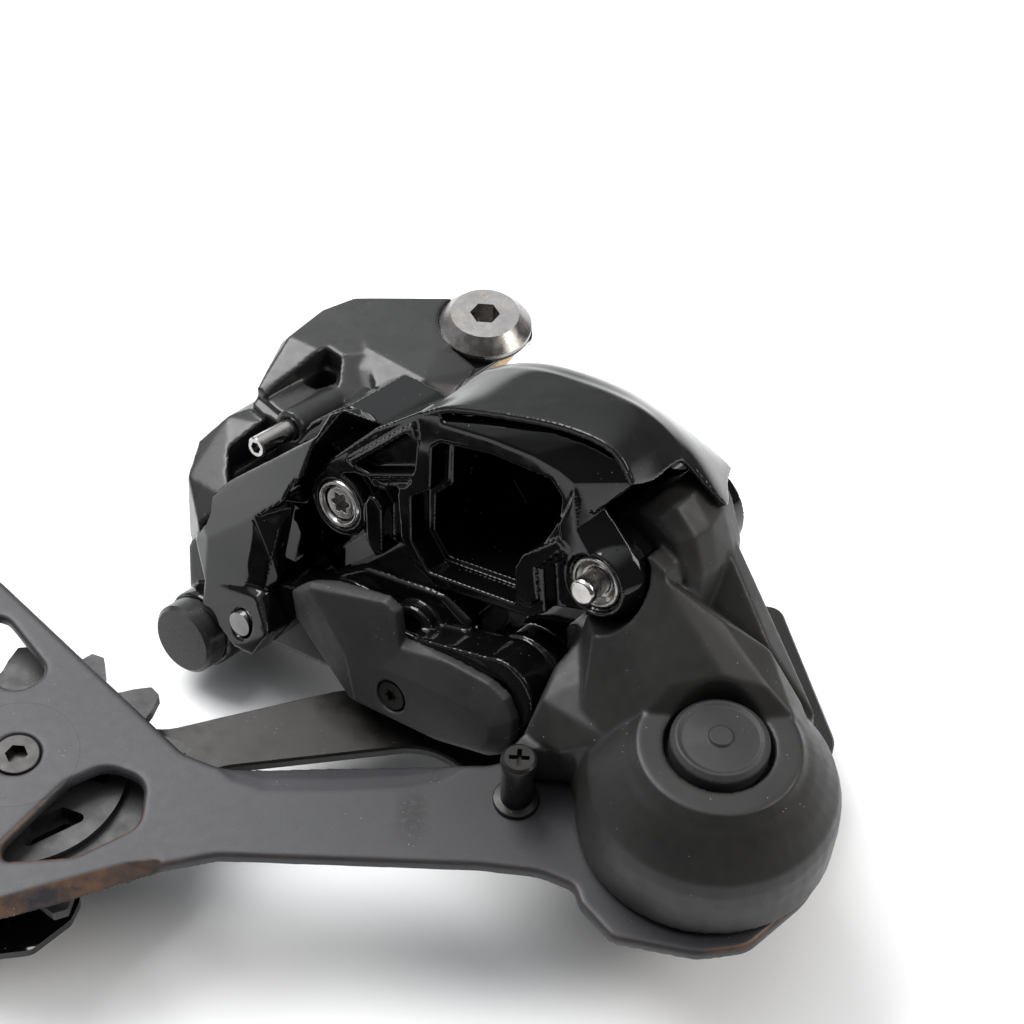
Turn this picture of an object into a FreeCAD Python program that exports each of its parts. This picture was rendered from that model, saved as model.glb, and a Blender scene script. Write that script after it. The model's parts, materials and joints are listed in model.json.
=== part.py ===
import FreeCAD, Part
import math
import os
import Sketcher
from FreeCAD import Placement, Rotation, Vector

# Rear bicycle derailleur: slant parallelogram, battery pocket in the outer link, long pulley cage.
# Millimetres. Origin on the hanger bolt axis at the hanger face, +Z outboard along the bolt,
# +X towards the front of the bicycle, +Y up.  The cage lies in planes of constant Z.
# The parallelogram has its own frame: u along the links, v outboard, w along the pivot pins,
# with its origin at the middle of the front outer pin's face.

DIMENSIONS = (
    # hanger bolt, M10 x 1
    ("bolt_radius", 5.0), ("bolt_shank_radius", 5.4), ("bolt_thread_length", 11.0),
    ("bolt_rim_radius", 9.1),
    ("bolt_face_radius", 6.6), ("bolt_face_height", 9.0), ("bolt_rim_low", 5.5),
    ("bolt_rim_high", 6.3), ("bolt_hex_flats", 5.0), ("bolt_hex_depth", 5.0),
    ("washer_radius", 8.9), ("bracket_height", 4.6), ("bracket_ring_radius", 9.4),
    ("bush_radius", 6.4), ("running_gap", 0.05), ("face_relief", 0.4),
    # parallelogram
    ("front_pin_x", -23.1), ("front_pin_y", -49.9), ("front_pin_z", 8.0),
    ("pin_azimuth", 234.4), ("pin_elevation", 14.2), ("link_pitch", 17.1),
    ("link_length", 54.4), ("inner_pin_u", -16.2), ("inner_pin_v", -23.7),
    ("link_depth", 34.0), ("lug_front", 9.0), ("lug_back", 26.6), ("side_gap", 0.3),
    ("pin_radius", 2.35), ("pin_ring_radius", 4.7), ("pocket_depth", 27.0),
    ("fairing_thickness", 1.6), ("boss_radius", 6.6), ("far_boss_radius", 9.2),
    ("inner_boss_radius", 7.0), ("inner_arm_back", 9.4), ("inner_arm_front", 5.6),
    ("cover_thickness", 3.4), ("link_spring_radius", 6.0), ("link_spring_wire", 1.1),
    ("drive_u", -30.2), ("drive_v", -30.8), ("drive_pod_radius", 7.6), ("drive_cap_radius", 6.9),
    ("drive_bore_radius", 6.3), ("motor_radius", 6.0), ("motor_length", 6.0),
    ("drive_pod_length", 18.0), ("drive_pod_floor", 2.0),
    # knuckle round the cage pivot
    ("cage_pivot_x", 43.0), ("cage_pivot_y", -99.7), ("knuckle_radius", 21.7),
    ("knuckle_low", -9.0), ("knuckle_crease", 3.5), ("knuckle_ledge", 13.2),
    ("knuckle_ledge_radius", 12.6), ("knuckle_cap_radius", 8.1), ("knuckle_cap_top", 15.75),
    ("knuckle_bore_radius", 17.5), ("knuckle_bore_top", 6.0), ("axle_radius", 5.0),
    ("shoulder_radius", 19.4),
    # cage
    ("plate_top", -10.0), ("plate_thickness", 2.4), ("inner_plate_top", -24.0),
    ("inner_plate_thickness", 2.0), ("stop_pin_radius", 3.1), ("stop_pin_height", 12.6),
    ("stop_pin_x", 11.4), ("stop_pin_y", -97.4),
    ("guide_x", 37.0), ("guide_y", -82.0), ("tension_x", -73.4), ("tension_y", -94.6),
    # pulleys
    ("pulley_teeth", 13), ("chain_pitch", 12.7), ("pulley_plane", -18.0),
    ("pulley_tip_radius", 28.0), ("pulley_root_radius", 22.7), ("tooth_width", 2.2),
    ("pulley_bore_radius", 6.2), ("pulley_cap_radius", 9.6), ("sleeve_radius", 4.0),
    ("pulley_bolt_radius", 2.5), ("pulley_bolt_head", 4.06),
)

DOC = FreeCAD.newDocument("derailleur")
SHEET = DOC.addObject("Spreadsheet::Sheet", "dims")
for row, (alias, value) in enumerate(DIMENSIONS, start=1):
    SHEET.set(f"A{row}", alias)
    SHEET.set(f"B{row}", str(value))
    SHEET.setAlias(f"B{row}", alias)
DOC.recompute()

NODES = []


def size(name):
    return float(SHEET.get(name))


def bind(thing, prop, rule):
    """Ties a property to the sheet; a rule is a formula over its aliases, or a plain number."""
    if isinstance(rule, str):
        thing.setExpression(prop, rule)
    else:
        setattr(thing, prop, rule)


def finished(thing, label):
    """Names a sub-part and lists it for export."""
    thing.Label = label
    NODES.append(thing)
    return thing


# ---------------------------------------------------------------- frames

def link_axes():
    """Unit vectors u, v and w of the parallelogram."""
    azimuth = math.radians(size("pin_azimuth"))
    elevation = math.radians(size("pin_elevation"))
    pitch = math.radians(size("link_pitch"))
    along_pin = Vector(math.cos(elevation) * math.cos(azimuth),
                       math.cos(elevation) * math.sin(azimuth), math.sin(elevation))
    level = Vector(-math.sin(azimuth), math.cos(azimuth), 0)
    upward = along_pin.cross(level)
    along_link = level * math.cos(pitch) + upward * math.sin(pitch)
    return along_link, along_pin.cross(along_link), along_pin


def link_place(u=0.0, v=0.0, w=0.0, turn=0.0):
    """Placement at u, v, w with its Z along the pins and its X along the links."""
    along, out, pin = link_axes()
    base = Vector(size("front_pin_x"), size("front_pin_y"), size("front_pin_z"))
    base = base + along * u + out * v + pin * w
    return Placement(base, Rotation(along, out, pin, "ZXY") * Rotation(Vector(0, 0, 1), turn))


def world_place(x=0.0, y=0.0, z=0.0):
    return Placement(Vector(x, y, z), Rotation())


# ---------------------------------------------------------------- sketches and features

def new_body(name, place=Placement()):
    body = DOC.addObject("PartDesign::Body", name)
    body.Placement = place
    return body


def new_sketch(body, level=0.0, role="XY_Plane"):
    """Sketch on a plane of the body's origin, raised by a number or by a formula."""
    sketch = body.newObject("Sketcher::SketchObject", body.Name + "_sketch")
    support = [item for item in body.Origin.OriginFeatures if item.Role == role][0]
    sketch.AttachmentSupport = [(support, "")]
    sketch.MapMode = "FlatFace"
    if isinstance(level, str):
        sketch.setExpression(".AttachmentOffset.Base.z", level)
    else:
        sketch.AttachmentOffset = Placement(Vector(0, 0, level), Rotation())
    return sketch


def add_circle(sketch, x, y, rule):
    """Circle whose radius follows a formula over the sheet."""
    index = sketch.addGeometry(Part.Circle(Vector(x, y, 0), Vector(0, 0, 1), 1.0), False)
    if isinstance(rule, str):
        place = sketch.addConstraint(Sketcher.Constraint("Radius", index, 1.0))
        sketch.setExpression(f"Constraints[{place}]", rule)
    else:
        sketch.addConstraint(Sketcher.Constraint("Radius", index, rule))


def rounded_path(corners):
    """Lines and tangent arcs through corners given as (x, y) or (x, y, corner radius)."""
    points = [Vector(c[0], c[1], 0) for c in corners]
    radii = [c[2] if len(c) > 2 else 0.0 for c in corners]
    count = len(points)
    starts = []
    ends = []
    arcs = []
    for i, point in enumerate(points):
        before = (points[i - 1] - point).normalize()
        after = (points[(i + 1) % count] - point).normalize()
        angle = before.getAngle(after)
        reach = radii[i] / math.tan(angle / 2) if radii[i] else 0.0
        starts.append(point + before * reach)
        ends.append(point + after * reach)
        arcs.append(None)
        if radii[i]:
            bisector = (before + after).normalize()
            centre = point + bisector * (radii[i] / math.sin(angle / 2))
            middle = centre - bisector * radii[i]
            arcs[i] = Part.Arc(starts[i], middle, ends[i])
    path = []
    for i in range(count):
        side = points[(i + 1) % count] - points[i]
        if (starts[(i + 1) % count] - ends[i]).dot(side) <= 0:
            raise ValueError("the corner radii overlap on side %d" % i)
        if arcs[i]:
            path.append(arcs[i])
        path.append(Part.LineSegment(ends[i], starts[(i + 1) % count]))
    return path


def nearest_end(sketch, index, point):
    """Number of the end (1 start, 2 end) of a sketch curve that is nearer to a point."""
    ends = [sketch.getPoint(index, 1), sketch.getPoint(index, 2)]
    return 1 if (ends[0] - point).Length < (ends[1] - point).Length else 2


def add_outline(sketch, corners):
    """Closed outline whose neighbouring curves are tied end to end."""
    path = rounded_path(corners)
    indices = list(sketch.addGeometry(path, False))
    for here, there, curve in zip(indices, indices[1:] + indices[:1], path):
        joint = curve.EndPoint
        ends = (nearest_end(sketch, here, joint), nearest_end(sketch, there, joint))
        sketch.addConstraint(Sketcher.Constraint("Coincident", here, ends[0], there, ends[1]))


def pad(body, sketch, length, up=True):
    feature = body.newObject("PartDesign::Pad", body.Name + "_pad")
    feature.Profile = sketch
    bind(feature, "Length", length)
    feature.Reversed = not up
    return feature


def pocket(body, sketch, length, up=False):
    """Cuts away material; down from the sketch unless up is set."""
    feature = body.newObject("PartDesign::Pocket", body.Name + "_pocket")
    feature.Profile = sketch
    bind(feature, "Length", length)
    feature.Reversed = up
    return feature


def revolve(body, sketch):
    feature = body.newObject("PartDesign::Revolution", body.Name + "_turned")
    feature.Profile = sketch
    feature.ReferenceAxis = (sketch, ["V_Axis"])
    feature.Angle = 360
    return feature


def turned_body(name, profile, place=Placement()):
    """Body turned about its own Z from (radius, height) corners."""
    body = new_body(name, place)
    sketch = new_sketch(body, 0.0, "XZ_Plane")
    add_outline(sketch, profile)
    revolve(body, sketch)
    return body


def bevel(body, edges, width):
    """Chamfers the tip's edges that a test picks."""
    DOC.recompute()
    base = body.Tip
    names = [f"Edge{i}" for i, edge in enumerate(base.Shape.Edges, start=1) if edges(edge)]
    feature = body.newObject("PartDesign::Chamfer", body.Name + "_bevel")
    feature.Base = (base, names)
    feature.Size = width
    return feature


def flat_at(level):
    """Test for an edge that lies wholly at one height."""
    def test(edge):
        return abs(edge.BoundBox.ZMin - level) < 1e-4 and abs(edge.BoundBox.ZMax - level) < 1e-4
    return test


def rod(name, radius, length, place=Placement()):
    piece = DOC.addObject("Part::Cylinder", name)
    bind(piece, "Radius", radius)
    bind(piece, "Height", length)
    piece.Placement = place
    return piece


def tube(name, inner, outer, length, place=Placement()):
    cut = DOC.addObject("Part::Cut", name)
    cut.Base = rod(name + "_outside", outer, length)
    cut.Tool = rod(name + "_inside", inner, length)
    cut.Placement = place
    return cut


def fused(name, pieces):
    joined = DOC.addObject("Part::MultiFuse", name)
    joined.Shapes = pieces
    joined.Refine = True
    return joined


def less(name, base, tool):
    cut = DOC.addObject("Part::Cut", name)
    cut.Base = base
    cut.Tool = tool
    cut.Refine = True
    return cut


def grouped(name, pieces):
    """Equal pieces in one node, each its own solid."""
    group = DOC.addObject("Part::Compound", name)
    group.Links = pieces
    return group


def hexagon(across_flats):
    """Corners of a hexagon about the origin."""
    reach = across_flats / math.sqrt(3)
    turns = [math.radians(60 * i) for i in range(6)]
    return [(reach * math.cos(turn), reach * math.sin(turn)) for turn in turns]


def star(inner, outer, points=6):
    """Corners of a pointed drive socket about the origin."""
    turns = [math.pi * i / points for i in range(2 * points)]
    reach = [outer if i % 2 == 0 else inner for i in range(2 * points)]
    return [(r * math.cos(turn), r * math.sin(turn)) for r, turn in zip(reach, turns)]


# ---------------------------------------------------------------- hanger bolt and bracket

def hanger_bolt():
    radius = size("bolt_radius")
    low = -size("bolt_thread_length")
    shank = size("bolt_shank_radius")
    profile = [(0, low), (radius - 0.8, low), (radius, low + 0.8), (radius, 0), (shank, 0),
               (shank, size("bolt_rim_low")),
               (size("bolt_rim_radius"), size("bolt_rim_low")),
               (size("bolt_rim_radius"), size("bolt_rim_high")),
               (size("bolt_face_radius"), size("bolt_face_height")), (0, size("bolt_face_height"))]
    body = turned_body("hanger_bolt", profile)
    socket = new_sketch(body, "dims.bolt_face_height")
    add_outline(socket, hexagon(size("bolt_hex_flats")))
    pocket(body, socket, "dims.bolt_hex_depth")
    return finished(body, "hanger_bolt")


def bolt_washer():
    washer = tube("bolt_washer", "dims.bolt_shank_radius + 0.1", "dims.washer_radius",
                  "dims.bolt_rim_low - dims.bracket_height - 0.05",
                  world_place(0, 0, size("bracket_height") + 0.05))
    return finished(washer, "bolt_washer")


def bracket_bush():
    bush = tube("bracket_bush", "dims.bolt_shank_radius + dims.running_gap", "dims.bush_radius",
                "dims.bracket_height")
    return finished(bush, "bracket_bush")


def bracket_lug_solid():
    """Glossy arm: ring round the bolt, web, and the lugs of the two bracket pins."""
    inner_u = size("inner_pin_u")
    inner_v = size("inner_pin_v")
    face = 12.0
    gap_front = size("inner_arm_front") + size("side_gap")
    gap_back = -size("inner_arm_back") - size("side_gap")
    body = new_body("bracket_web", link_place())

    front = new_sketch(body, face)
    add_outline(front, [(-24.5, -15.2, 1.5), (-12.2, -15.0, 2), (-9.9, -24.5, 2), (-13.5, -29.6, 3),
                        (-21.0, -28.3, 2), (-28.5, -22.6, 2)])
    pad(body, front, face - gap_front, up=False)

    middle = new_sketch(body, gap_front)
    add_outline(middle, [(-30.0, -13.5, 2), (-14.0, 2.2, 1), (-9.6, -1.0, 1), (-10.5, -9.5, 1),
                         (-16.2, -14.6, 1), (-22.4, -16.6, 1), (-25.4, -22.0, 1), (-29.8, -23.5, 1)])
    pad(body, middle, gap_front - gap_back, up=False)

    rear = new_sketch(body, gap_back)
    add_outline(rear, [(-28.0, -11.0, 2), (-12.0, 7.0, 2), (0.0, 9.6, 2), (6.2, 5.0, 4), (6.2, -4.5, 4),
                       (-2.0, -7.5, 3), (-9.0, -16.0, 1), (-9.4, -26.0, 4), (-14.0, -30.6, 4),
                       (-24.0, -29.4, 4)])
    pad(body, rear, "dims.lug_back - dims.inner_arm_back - 2 * dims.side_gap", up=False)

    bores = new_sketch(body, face)
    add_circle(bores, 0, 0, "dims.pin_radius + dims.running_gap")
    add_circle(bores, inner_u, inner_v, "dims.pin_radius")
    pocket(body, bores, 60)

    ring = rod("bracket_ring", "dims.bracket_ring_radius", "dims.bracket_height")
    slab = new_body("bracket_slab")
    plan = new_sketch(slab, "dims.face_relief")
    add_outline(plan, [(-9.0, -2.0, 1), (9.2, -2.0, 1), (8.0, -10.0, 4), (-1.0, -31.0, 2),
                       (-6.0, -33.0, 2), (-26.0, -23.0, 2), (-17.0, -10.0, 3)])
    pad(slab, plan, "dims.bracket_height - dims.face_relief")
    keel = new_sketch(slab, "dims.face_relief")
    add_outline(keel, [(-18.0, -13.0, 2), (2.0, -13.0, 2), (-2.5, -31.0, 2), (-8.0, -32.6, 2),
                       (-24.0, -24.0, 2)])
    pad(slab, keel, 12.0, up=False)
    whole = fused("bracket_lug_whole", [body, ring, slab])
    swing = new_body("link_swing", link_place())
    swept = new_sketch(swing, "-dims.lug_back + dims.side_gap")
    add_outline(swept, [(-7.6, 1.6, 4), (1.8, 10.4, 2), (14.0, 21.0), (50.0, 21.0), (50.0, -30.0),
                        (0.0, -9.0, 4), (-7.4, -5.4, 4)])
    pad(swing, swept, 12.0, up=False)
    bore = rod("bracket_bore", "dims.bush_radius", 30, world_place(z=-5))
    pin_bore = rod("front_pin_bore", "dims.pin_radius + dims.running_gap", 45, link_place(w=-36))
    return less("bracket_lug", whole, fused("bracket_rooms", [swing, bore, pin_bore]))


def bracket_body_solid(lug):
    """Satin housing: top plate beside the bolt and the block below it, with slanting facets."""
    body = new_body("bracket_shell")
    rise = 3.0
    step = size("bracket_height") - 0.6
    edge = [(-9.8, 8.2, 1), (-26.0, 5.4, 5), (-32.4, 0.8, 4), (-36.5, -6.5, 4), (-41.2, -19.5, 4),
            (-50.5, -33.0, 5), (-48.0, -41.0, 4), (-37.0, -36.5, 3), (-30.0, -30.5, 3),
            (-24.0, -24.0, 2), (-18.6, -27.0, 2), (-11.2, -16.4, 2), (-9.8, -8.0, 2)]
    plan = new_sketch(body)
    add_outline(plan, edge)
    pad(body, plan, step)
    crown = new_sketch(body, step)
    add_outline(crown, edge)
    slant = pad(body, crown, rise)
    slant.TaperAngle = -32
    deep = new_sketch(body)
    add_outline(deep, [(-19.0, 1.0, 3), (-31.5, -0.5, 3), (-38.0, -9.0, 3), (-42.5, -20.0, 3),
                       (-52.5, -34.0, 4), (-50.0, -43.0, 4), (-41.0, -38.0, 2), (-29.0, -30.0, 2),
                       (-19.0, -14.0, 2)])
    pad(body, deep, 21.0, up=False)
    boss = rod("screw_boss", 3.8, 12.0, link_place(-20.6, 5.2, -18.0))
    bore = rod("screw_bore", 2.05, 20.0, link_place(-20.6, 5.2, -17.0))
    shell = less("bracket_shell_bored", fused("bracket_shell_whole", [body, boss]), bore)
    room = less("bracket_shell_room", shell, rod("bolt_room", 9.6, 12.0, world_place(z=-1)))
    return less("bracket_body", room, lug)


def motor_cover_solid(lug, shell):
    """Housing of the drive unit beside the inner pin; its bore holds the motor and gears."""
    drive = (size("drive_u"), size("drive_v"))
    body = new_body("motor_pod", link_place())
    outline = new_sketch(body, 8.9)
    add_circle(outline, drive[0], drive[1], "dims.drive_pod_radius")
    pad(body, outline, "dims.drive_pod_length", up=False)
    side = new_sketch(body, 4.0)
    add_outline(side, [(-37.2, -29.0, 2), (-35.5, -15.0, 4), (-30.2, -13.0, 2), (-29.5, -24.0, 2)])
    pad(body, side, 13.0, up=False)
    bore = new_sketch(body, 8.9)
    add_circle(bore, drive[0], drive[1], "dims.drive_bore_radius")
    pocket(body, bore, "dims.drive_pod_length - dims.drive_pod_floor")
    return less("motor_cover", less("motor_cover_clear", body, lug), shell)


def drive_cap():
    body = new_body("drive_cap", link_place(size("drive_u"), size("drive_v")))
    disc = new_sketch(body, 9.0)
    add_circle(disc, 0, 0, "dims.drive_cap_radius")
    pad(body, disc, 4.5)
    bevel(body, flat_at(13.5), 0.7)
    return finished(body, "drive_cap")


def drive_unit():
    """Motor, its pinion and the output gear, in line inside the drive housing."""
    place = (size("drive_u"), size("drive_v"))
    motor = rod("motor", "dims.motor_radius", "dims.motor_length", link_place(place[0], place[1], -7.0))
    finished(motor, "motor")
    shaft = rod("drive_shaft", 1.5, 8.0, link_place(place[0], place[1], -1.0))
    finished(shaft, "drive_shaft")
    body = new_body("drive_gear", link_place(place[0], place[1], 0.0))
    outline = new_sketch(body)
    teeth = 20
    corners = []
    for i in range(teeth):
        turn = 2 * math.pi * i / teeth
        for reach, offset in ((4.9, -0.07), (5.7, -0.03), (5.7, 0.03), (4.9, 0.07)):
            corners.append((reach * math.cos(turn + offset), reach * math.sin(turn + offset)))
    add_outline(outline, corners)
    add_circle(outline, 0, 0, 1.5)
    pad(body, outline, 4.0)
    finished(body, "drive_gear")


def tension_screw():
    """Screw that sets the bracket's angle: rod and hexagonal head."""
    body = new_body("b_tension_screw", link_place(-20.6, 5.2, -16.0))
    shank = new_sketch(body)
    add_circle(shank, 0, 0, 2.0)
    pad(body, shank, 14.2)
    socket = new_sketch(body, 14.2)
    add_outline(socket, hexagon(2.0))
    pocket(body, socket, 2.5)
    bevel(body, lambda edge: flat_at(14.2)(edge) and edge.Curve.TypeId == "Part::GeomCircle", 0.3)
    return finished(body, "b_tension_screw")


# ---------------------------------------------------------------- outer link

def outer_link():
    far = size("link_length")
    body = new_body("outer_link", link_place())

    box = new_sketch(body, -1.0)
    add_outline(box, [(14.2, -4.0, 2), (18.6, -11.0, 3), (49.4, -9.6, 3), (45.0, 0.5, 3), (51.0, 12.5, 1.5),
                      (50.2, 21.0, 1.5), (24.0, 20.4, 3), (15.0, 17.0, 2)])
    pad(body, box, "dims.link_depth - 1", up=False)

    near = new_sketch(body, -1.0)
    add_outline(near, [(-6.2, 1.0, 4), (2.2, 9.0, 2), (15.6, 19.0, 2), (16.0, -4.0, 1), (8.0, -4.0, 2),
                       (3.0, -6.4, 4), (-5.5, -4.5, 4)])
    pad(body, near, "dims.link_depth - 1", up=False)

    boss = new_sketch(body, -1.0)
    add_circle(boss, far, 0, "dims.far_boss_radius")
    pad(body, boss, "dims.link_depth - 1", up=False)
    arm = new_sketch(body, -1.0)
    add_outline(arm, [(40.0, -9.8, 1), (55.0, -9.0, 1), (55.0, 8.8, 1), (48.0, 9.5, 1), (42.0, 0.0, 1)])
    pad(body, arm, "dims.link_depth - 1", up=False)

    slot = new_sketch(body, "-dims.lug_front")
    add_outline(slot, [(-12, -14), (13.2, -14), (13.2, 26), (-12, 26)])
    pocket(body, slot, "dims.lug_back - dims.lug_front + 0.3")
    far_slot = new_sketch(body, "-dims.lug_front")
    add_outline(far_slot, [(44.6, -16, 0), (44.0, -3.0, 2), (49.4, 9.6, 1), (51.2, 14, 1), (51.2, 30),
                           (80, 30), (80, -16)])
    pocket(body, far_slot, "dims.lug_back - dims.lug_front + 0.3")

    battery = new_sketch(body, -1.0)
    add_outline(battery, [(21.6, -5.0, 2.5), (38.0, -4.0, 3), (42.2, 1.5, 3), (48.2, 10.0, 2),
                          (48.2, 17.4, 2.5), (37.0, 18.8, 4), (22.6, 17.8, 2.5)])
    pocket(body, battery, "dims.pocket_depth")
    recess = new_sketch(body, -1.0)
    add_outline(recess, [(8.0, 11.0, 0.8), (13.6, 15.4, 0.8), (14.0, 10.2, 0.8)])
    pocket(body, recess, 6.0)

    bores = new_sketch(body, 0.0)
    add_circle(bores, 0, 0, "dims.pin_radius")
    add_circle(bores, far, 0, "dims.pin_radius")
    pocket(body, bores, 60)
    rings = new_sketch(body, 0.0)
    add_circle(rings, 0, 0, "dims.pin_ring_radius + 0.02")
    add_circle(rings, far, 0, "dims.pin_ring_radius + 0.02")
    pocket(body, rings, 3.0)
    return finished(body, "outer_link")


def fairing_outline(inset):
    """Outline of the fairing's outer face, or of its inner face when inset."""
    return [(1.6 + inset, 9.6), (12.6 + 0.6 * inset, 19.0 - 0.8 * inset, 8),
            (25.0, 25.4 - inset, 26), (44.0, 27.6 - inset, 30),
            (57.0 - 0.5 * inset, 25.0 - inset, 10), (62.8 - inset, 19.4 - 0.3 * inset)]


def outer_fairing(link):
    """Curved outboard panel over the outer link, a shell of even thickness."""
    thick = size("fairing_thickness")
    body = new_body("fairing_shell", link_place())
    section = new_sketch(body, 0.0)
    outside = fairing_outline(0.0)
    inside = fairing_outline(thick)
    add_outline(section, outside + inside[::-1])
    pad(body, section, "dims.link_depth", up=False)
    return finished(less("outer_fairing", body, link), "outer_fairing")


def fairing_ribs(link):
    """Posts that carry the fairing on the pocket's wall."""
    body = new_body("rib_blanks", link_place())
    for left, right in ((24.5, 27.0), (34.0, 36.5), (45.0, 47.5)):
        rib = new_sketch(body, -4.0)
        add_outline(rib, [(left, 20.6), (right, 20.6), (right, 23.2), (left, 23.2)])
        pad(body, rib, 26.0, up=False)
    return finished(less("fairing_ribs", body, link), "fairing_ribs")


def battery_contacts():
    """Insulating block on the pocket's floor with its sprung contacts."""
    floor = -1.0 - size("pocket_depth")
    body = new_body("contact_block", link_place())
    block = new_sketch(body, floor)
    add_outline(block, [(27.0, 2.0, 1), (43.0, 2.0, 1), (43.0, 10.0, 1), (27.0, 10.0, 1)])
    pad(body, block, 2.0)
    finished(body, "contact_block")
    pins = [rod(f"contact_{i}", 1.0, 1.6, link_place(31.0 + 4.0 * i, 6.0, floor + 2.0)) for i in range(3)]
    finished(grouped("contact_pins", pins), "contact_pins")


def outer_pins():
    """The two outer pins, their face rings, and the rear washers."""
    far = size("link_length")
    ring_length = 2.8
    for name, u, proud in (("front_pin", 0.0, -0.6), ("far_pin", far, 2.4)):
        body = new_body(name, link_place(u, 0.0, proud))
        shank = new_sketch(body)
        add_circle(shank, 0, 0, "dims.pin_radius")
        pad(body, shank, 33.0 + proud, up=False)
        if name == "front_pin":
            head = new_sketch(body)
            add_circle(head, 0, 0, 3.6)
            pad(body, head, 2.2, up=False)
            socket = new_sketch(body)
            add_outline(socket, star(1.25, 1.95))
            pocket(body, socket, 2.0)
        else:
            bevel(body, flat_at(0.0), 0.4)
        finished(body, name)
    front_ring = tube("front_pin_ring", 3.65, "dims.pin_ring_radius", ring_length,
                      link_place(w=-3.0))
    finished(front_ring, "front_pin_ring")
    far_ring = tube("far_pin_bush", "dims.pin_radius", "dims.pin_ring_radius", ring_length,
                    link_place(far, 0, -3.0))
    finished(far_ring, "far_pin_bush")


# ---------------------------------------------------------------- inner link

def inner_link():
    """Arm between the bracket's inner pin and the knuckle's inner pin."""
    near_u = size("inner_pin_u")
    far_u = near_u + size("link_length")
    level = size("inner_pin_v")
    body = new_body("inner_link", link_place())
    near = new_sketch(body, "dims.inner_arm_front")
    add_circle(near, near_u, level, "dims.inner_boss_radius")
    pad(body, near, "dims.inner_arm_front + dims.inner_arm_back", up=False)
    far = new_sketch(body, "dims.inner_arm_front")
    add_circle(far, far_u, level, "dims.inner_boss_radius")
    pad(body, far, "dims.inner_arm_front + 2.4", up=False)
    bar = new_sketch(body, "dims.inner_arm_front")
    add_outline(bar, [(near_u, level + 6.6), (2.0, -15.6, 6), (20.0, -18.2, 6), (far_u, level + 6.8),
                      (far_u, level - 6.8), (24.0, -32.4, 8), (4.0, -31.6, 8), (near_u, level - 6.6)])
    pad(body, bar, "dims.inner_arm_front + 2.4", up=False)
    bores = new_sketch(body, "dims.inner_arm_front")
    add_circle(bores, near_u, level, "dims.pin_radius + dims.running_gap")
    add_circle(bores, far_u, level, "dims.pin_radius + 0.3")
    pocket(body, bores, 60)
    return finished(body, "inner_link")


def inner_cover():
    """Moulded cover on the camera side of the inner link, with a bevelled border."""
    body = new_body("inner_cover", link_place())
    plate = new_sketch(body, "dims.inner_arm_front")
    add_outline(plate, [(-6.0, -15.4, 1.8), (4.6, -11.4, 4), (17.6, -10.8, 2.5), (19.4, -18.0, 2),
                        (29.0, -19.2, 10), (43.4, -21.6, 6.4), (41.4, -35.4, 6.4), (25.0, -36.8, 8),
                        (6.0, -34.8, 4), (0.6, -27.6, 6), (-5.6, -21.4, 2)])
    pad(body, plate, "dims.cover_thickness")
    face = size("inner_arm_front") + size("cover_thickness")
    bevel(body, flat_at(face), 1.2)
    recess = new_sketch(body, face)
    add_circle(recess, 16.4, -29.7, 3.1)
    pocket(body, recess, 1.6)
    return finished(body, "inner_cover")


def cover_screw():
    body = new_body("cover_screw", link_place(16.4, -29.7, size("inner_arm_front")))
    head = new_sketch(body, 1.8)
    add_circle(head, 0, 0, 2.7)
    pad(body, head, 1.3)
    socket = new_sketch(body, 3.1)
    add_outline(socket, star(0.9, 1.45))
    pocket(body, socket, 1.0)
    return finished(body, "cover_screw")


def inner_pins():
    """Pin of the bracket's inner lug, and pin that the knuckle carries into the inner link."""
    near_u = size("inner_pin_u")
    level = size("inner_pin_v")
    near = rod("bracket_inner_pin", "dims.pin_radius", 37.4, link_place(near_u, level, -25.6))
    finished(near, "bracket_inner_pin")
    far = rod("knuckle_inner_pin", "dims.pin_radius", 29.0,
              link_place(near_u + size("link_length"), level, -24.0))
    finished(far, "knuckle_inner_pin")


def link_spring():
    """Close-wound spring on the inner pin, a row of turns between link and knuckle."""
    far_u = size("inner_pin_u") + size("link_length")
    level = size("inner_pin_v")
    turns = []
    for i in range(5):
        ring = DOC.addObject("Part::Torus", f"link_spring_turn_{i}")
        bind(ring, "Radius1", "dims.link_spring_radius")
        bind(ring, "Radius2", "dims.link_spring_wire / 2")
        ring.Placement = link_place(far_u, level, -3.2 - (size("link_spring_wire") + 0.05) * i)
        turns.append(ring)
    finished(grouped("link_spring", turns), "link_spring")


# ---------------------------------------------------------------- knuckle

def pivot_place(z=0.0):
    return world_place(size("cage_pivot_x"), size("cage_pivot_y"), z)


def knuckle_dome():
    """Round housing of the cage spring, turned about the cage pivot."""
    outer = size("knuckle_radius")
    bore = size("knuckle_bore_radius")
    low = size("knuckle_low")
    ledge = size("knuckle_ledge")
    profile = [(bore, low), (outer, low), (outer, size("knuckle_crease"), 1.5), (19.4, 8.0, 5),
               (size("knuckle_ledge_radius") + 1.6, ledge, 2), (size("knuckle_ledge_radius"), ledge - 0.8),
               (size("knuckle_cap_radius") + 0.5, ledge - 0.8), (size("knuckle_cap_radius") + 0.5, 10.0),
               (size("axle_radius") + 0.05, 10.0), (size("axle_radius") + 0.05, size("knuckle_bore_top")),
               (bore, size("knuckle_bore_top"))]
    return turned_body("knuckle_dome", profile, pivot_place())


def section_wire(name, y, corners):
    """Closed sketch in the upright plane at one Y, from (x, z) corners."""
    sketch = DOC.addObject("Sketcher::SketchObject", name)
    sketch.Placement = Placement(Vector(0, y, 0), Rotation(Vector(1, 0, 0), 90))
    add_outline(sketch, corners)
    return sketch


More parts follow.
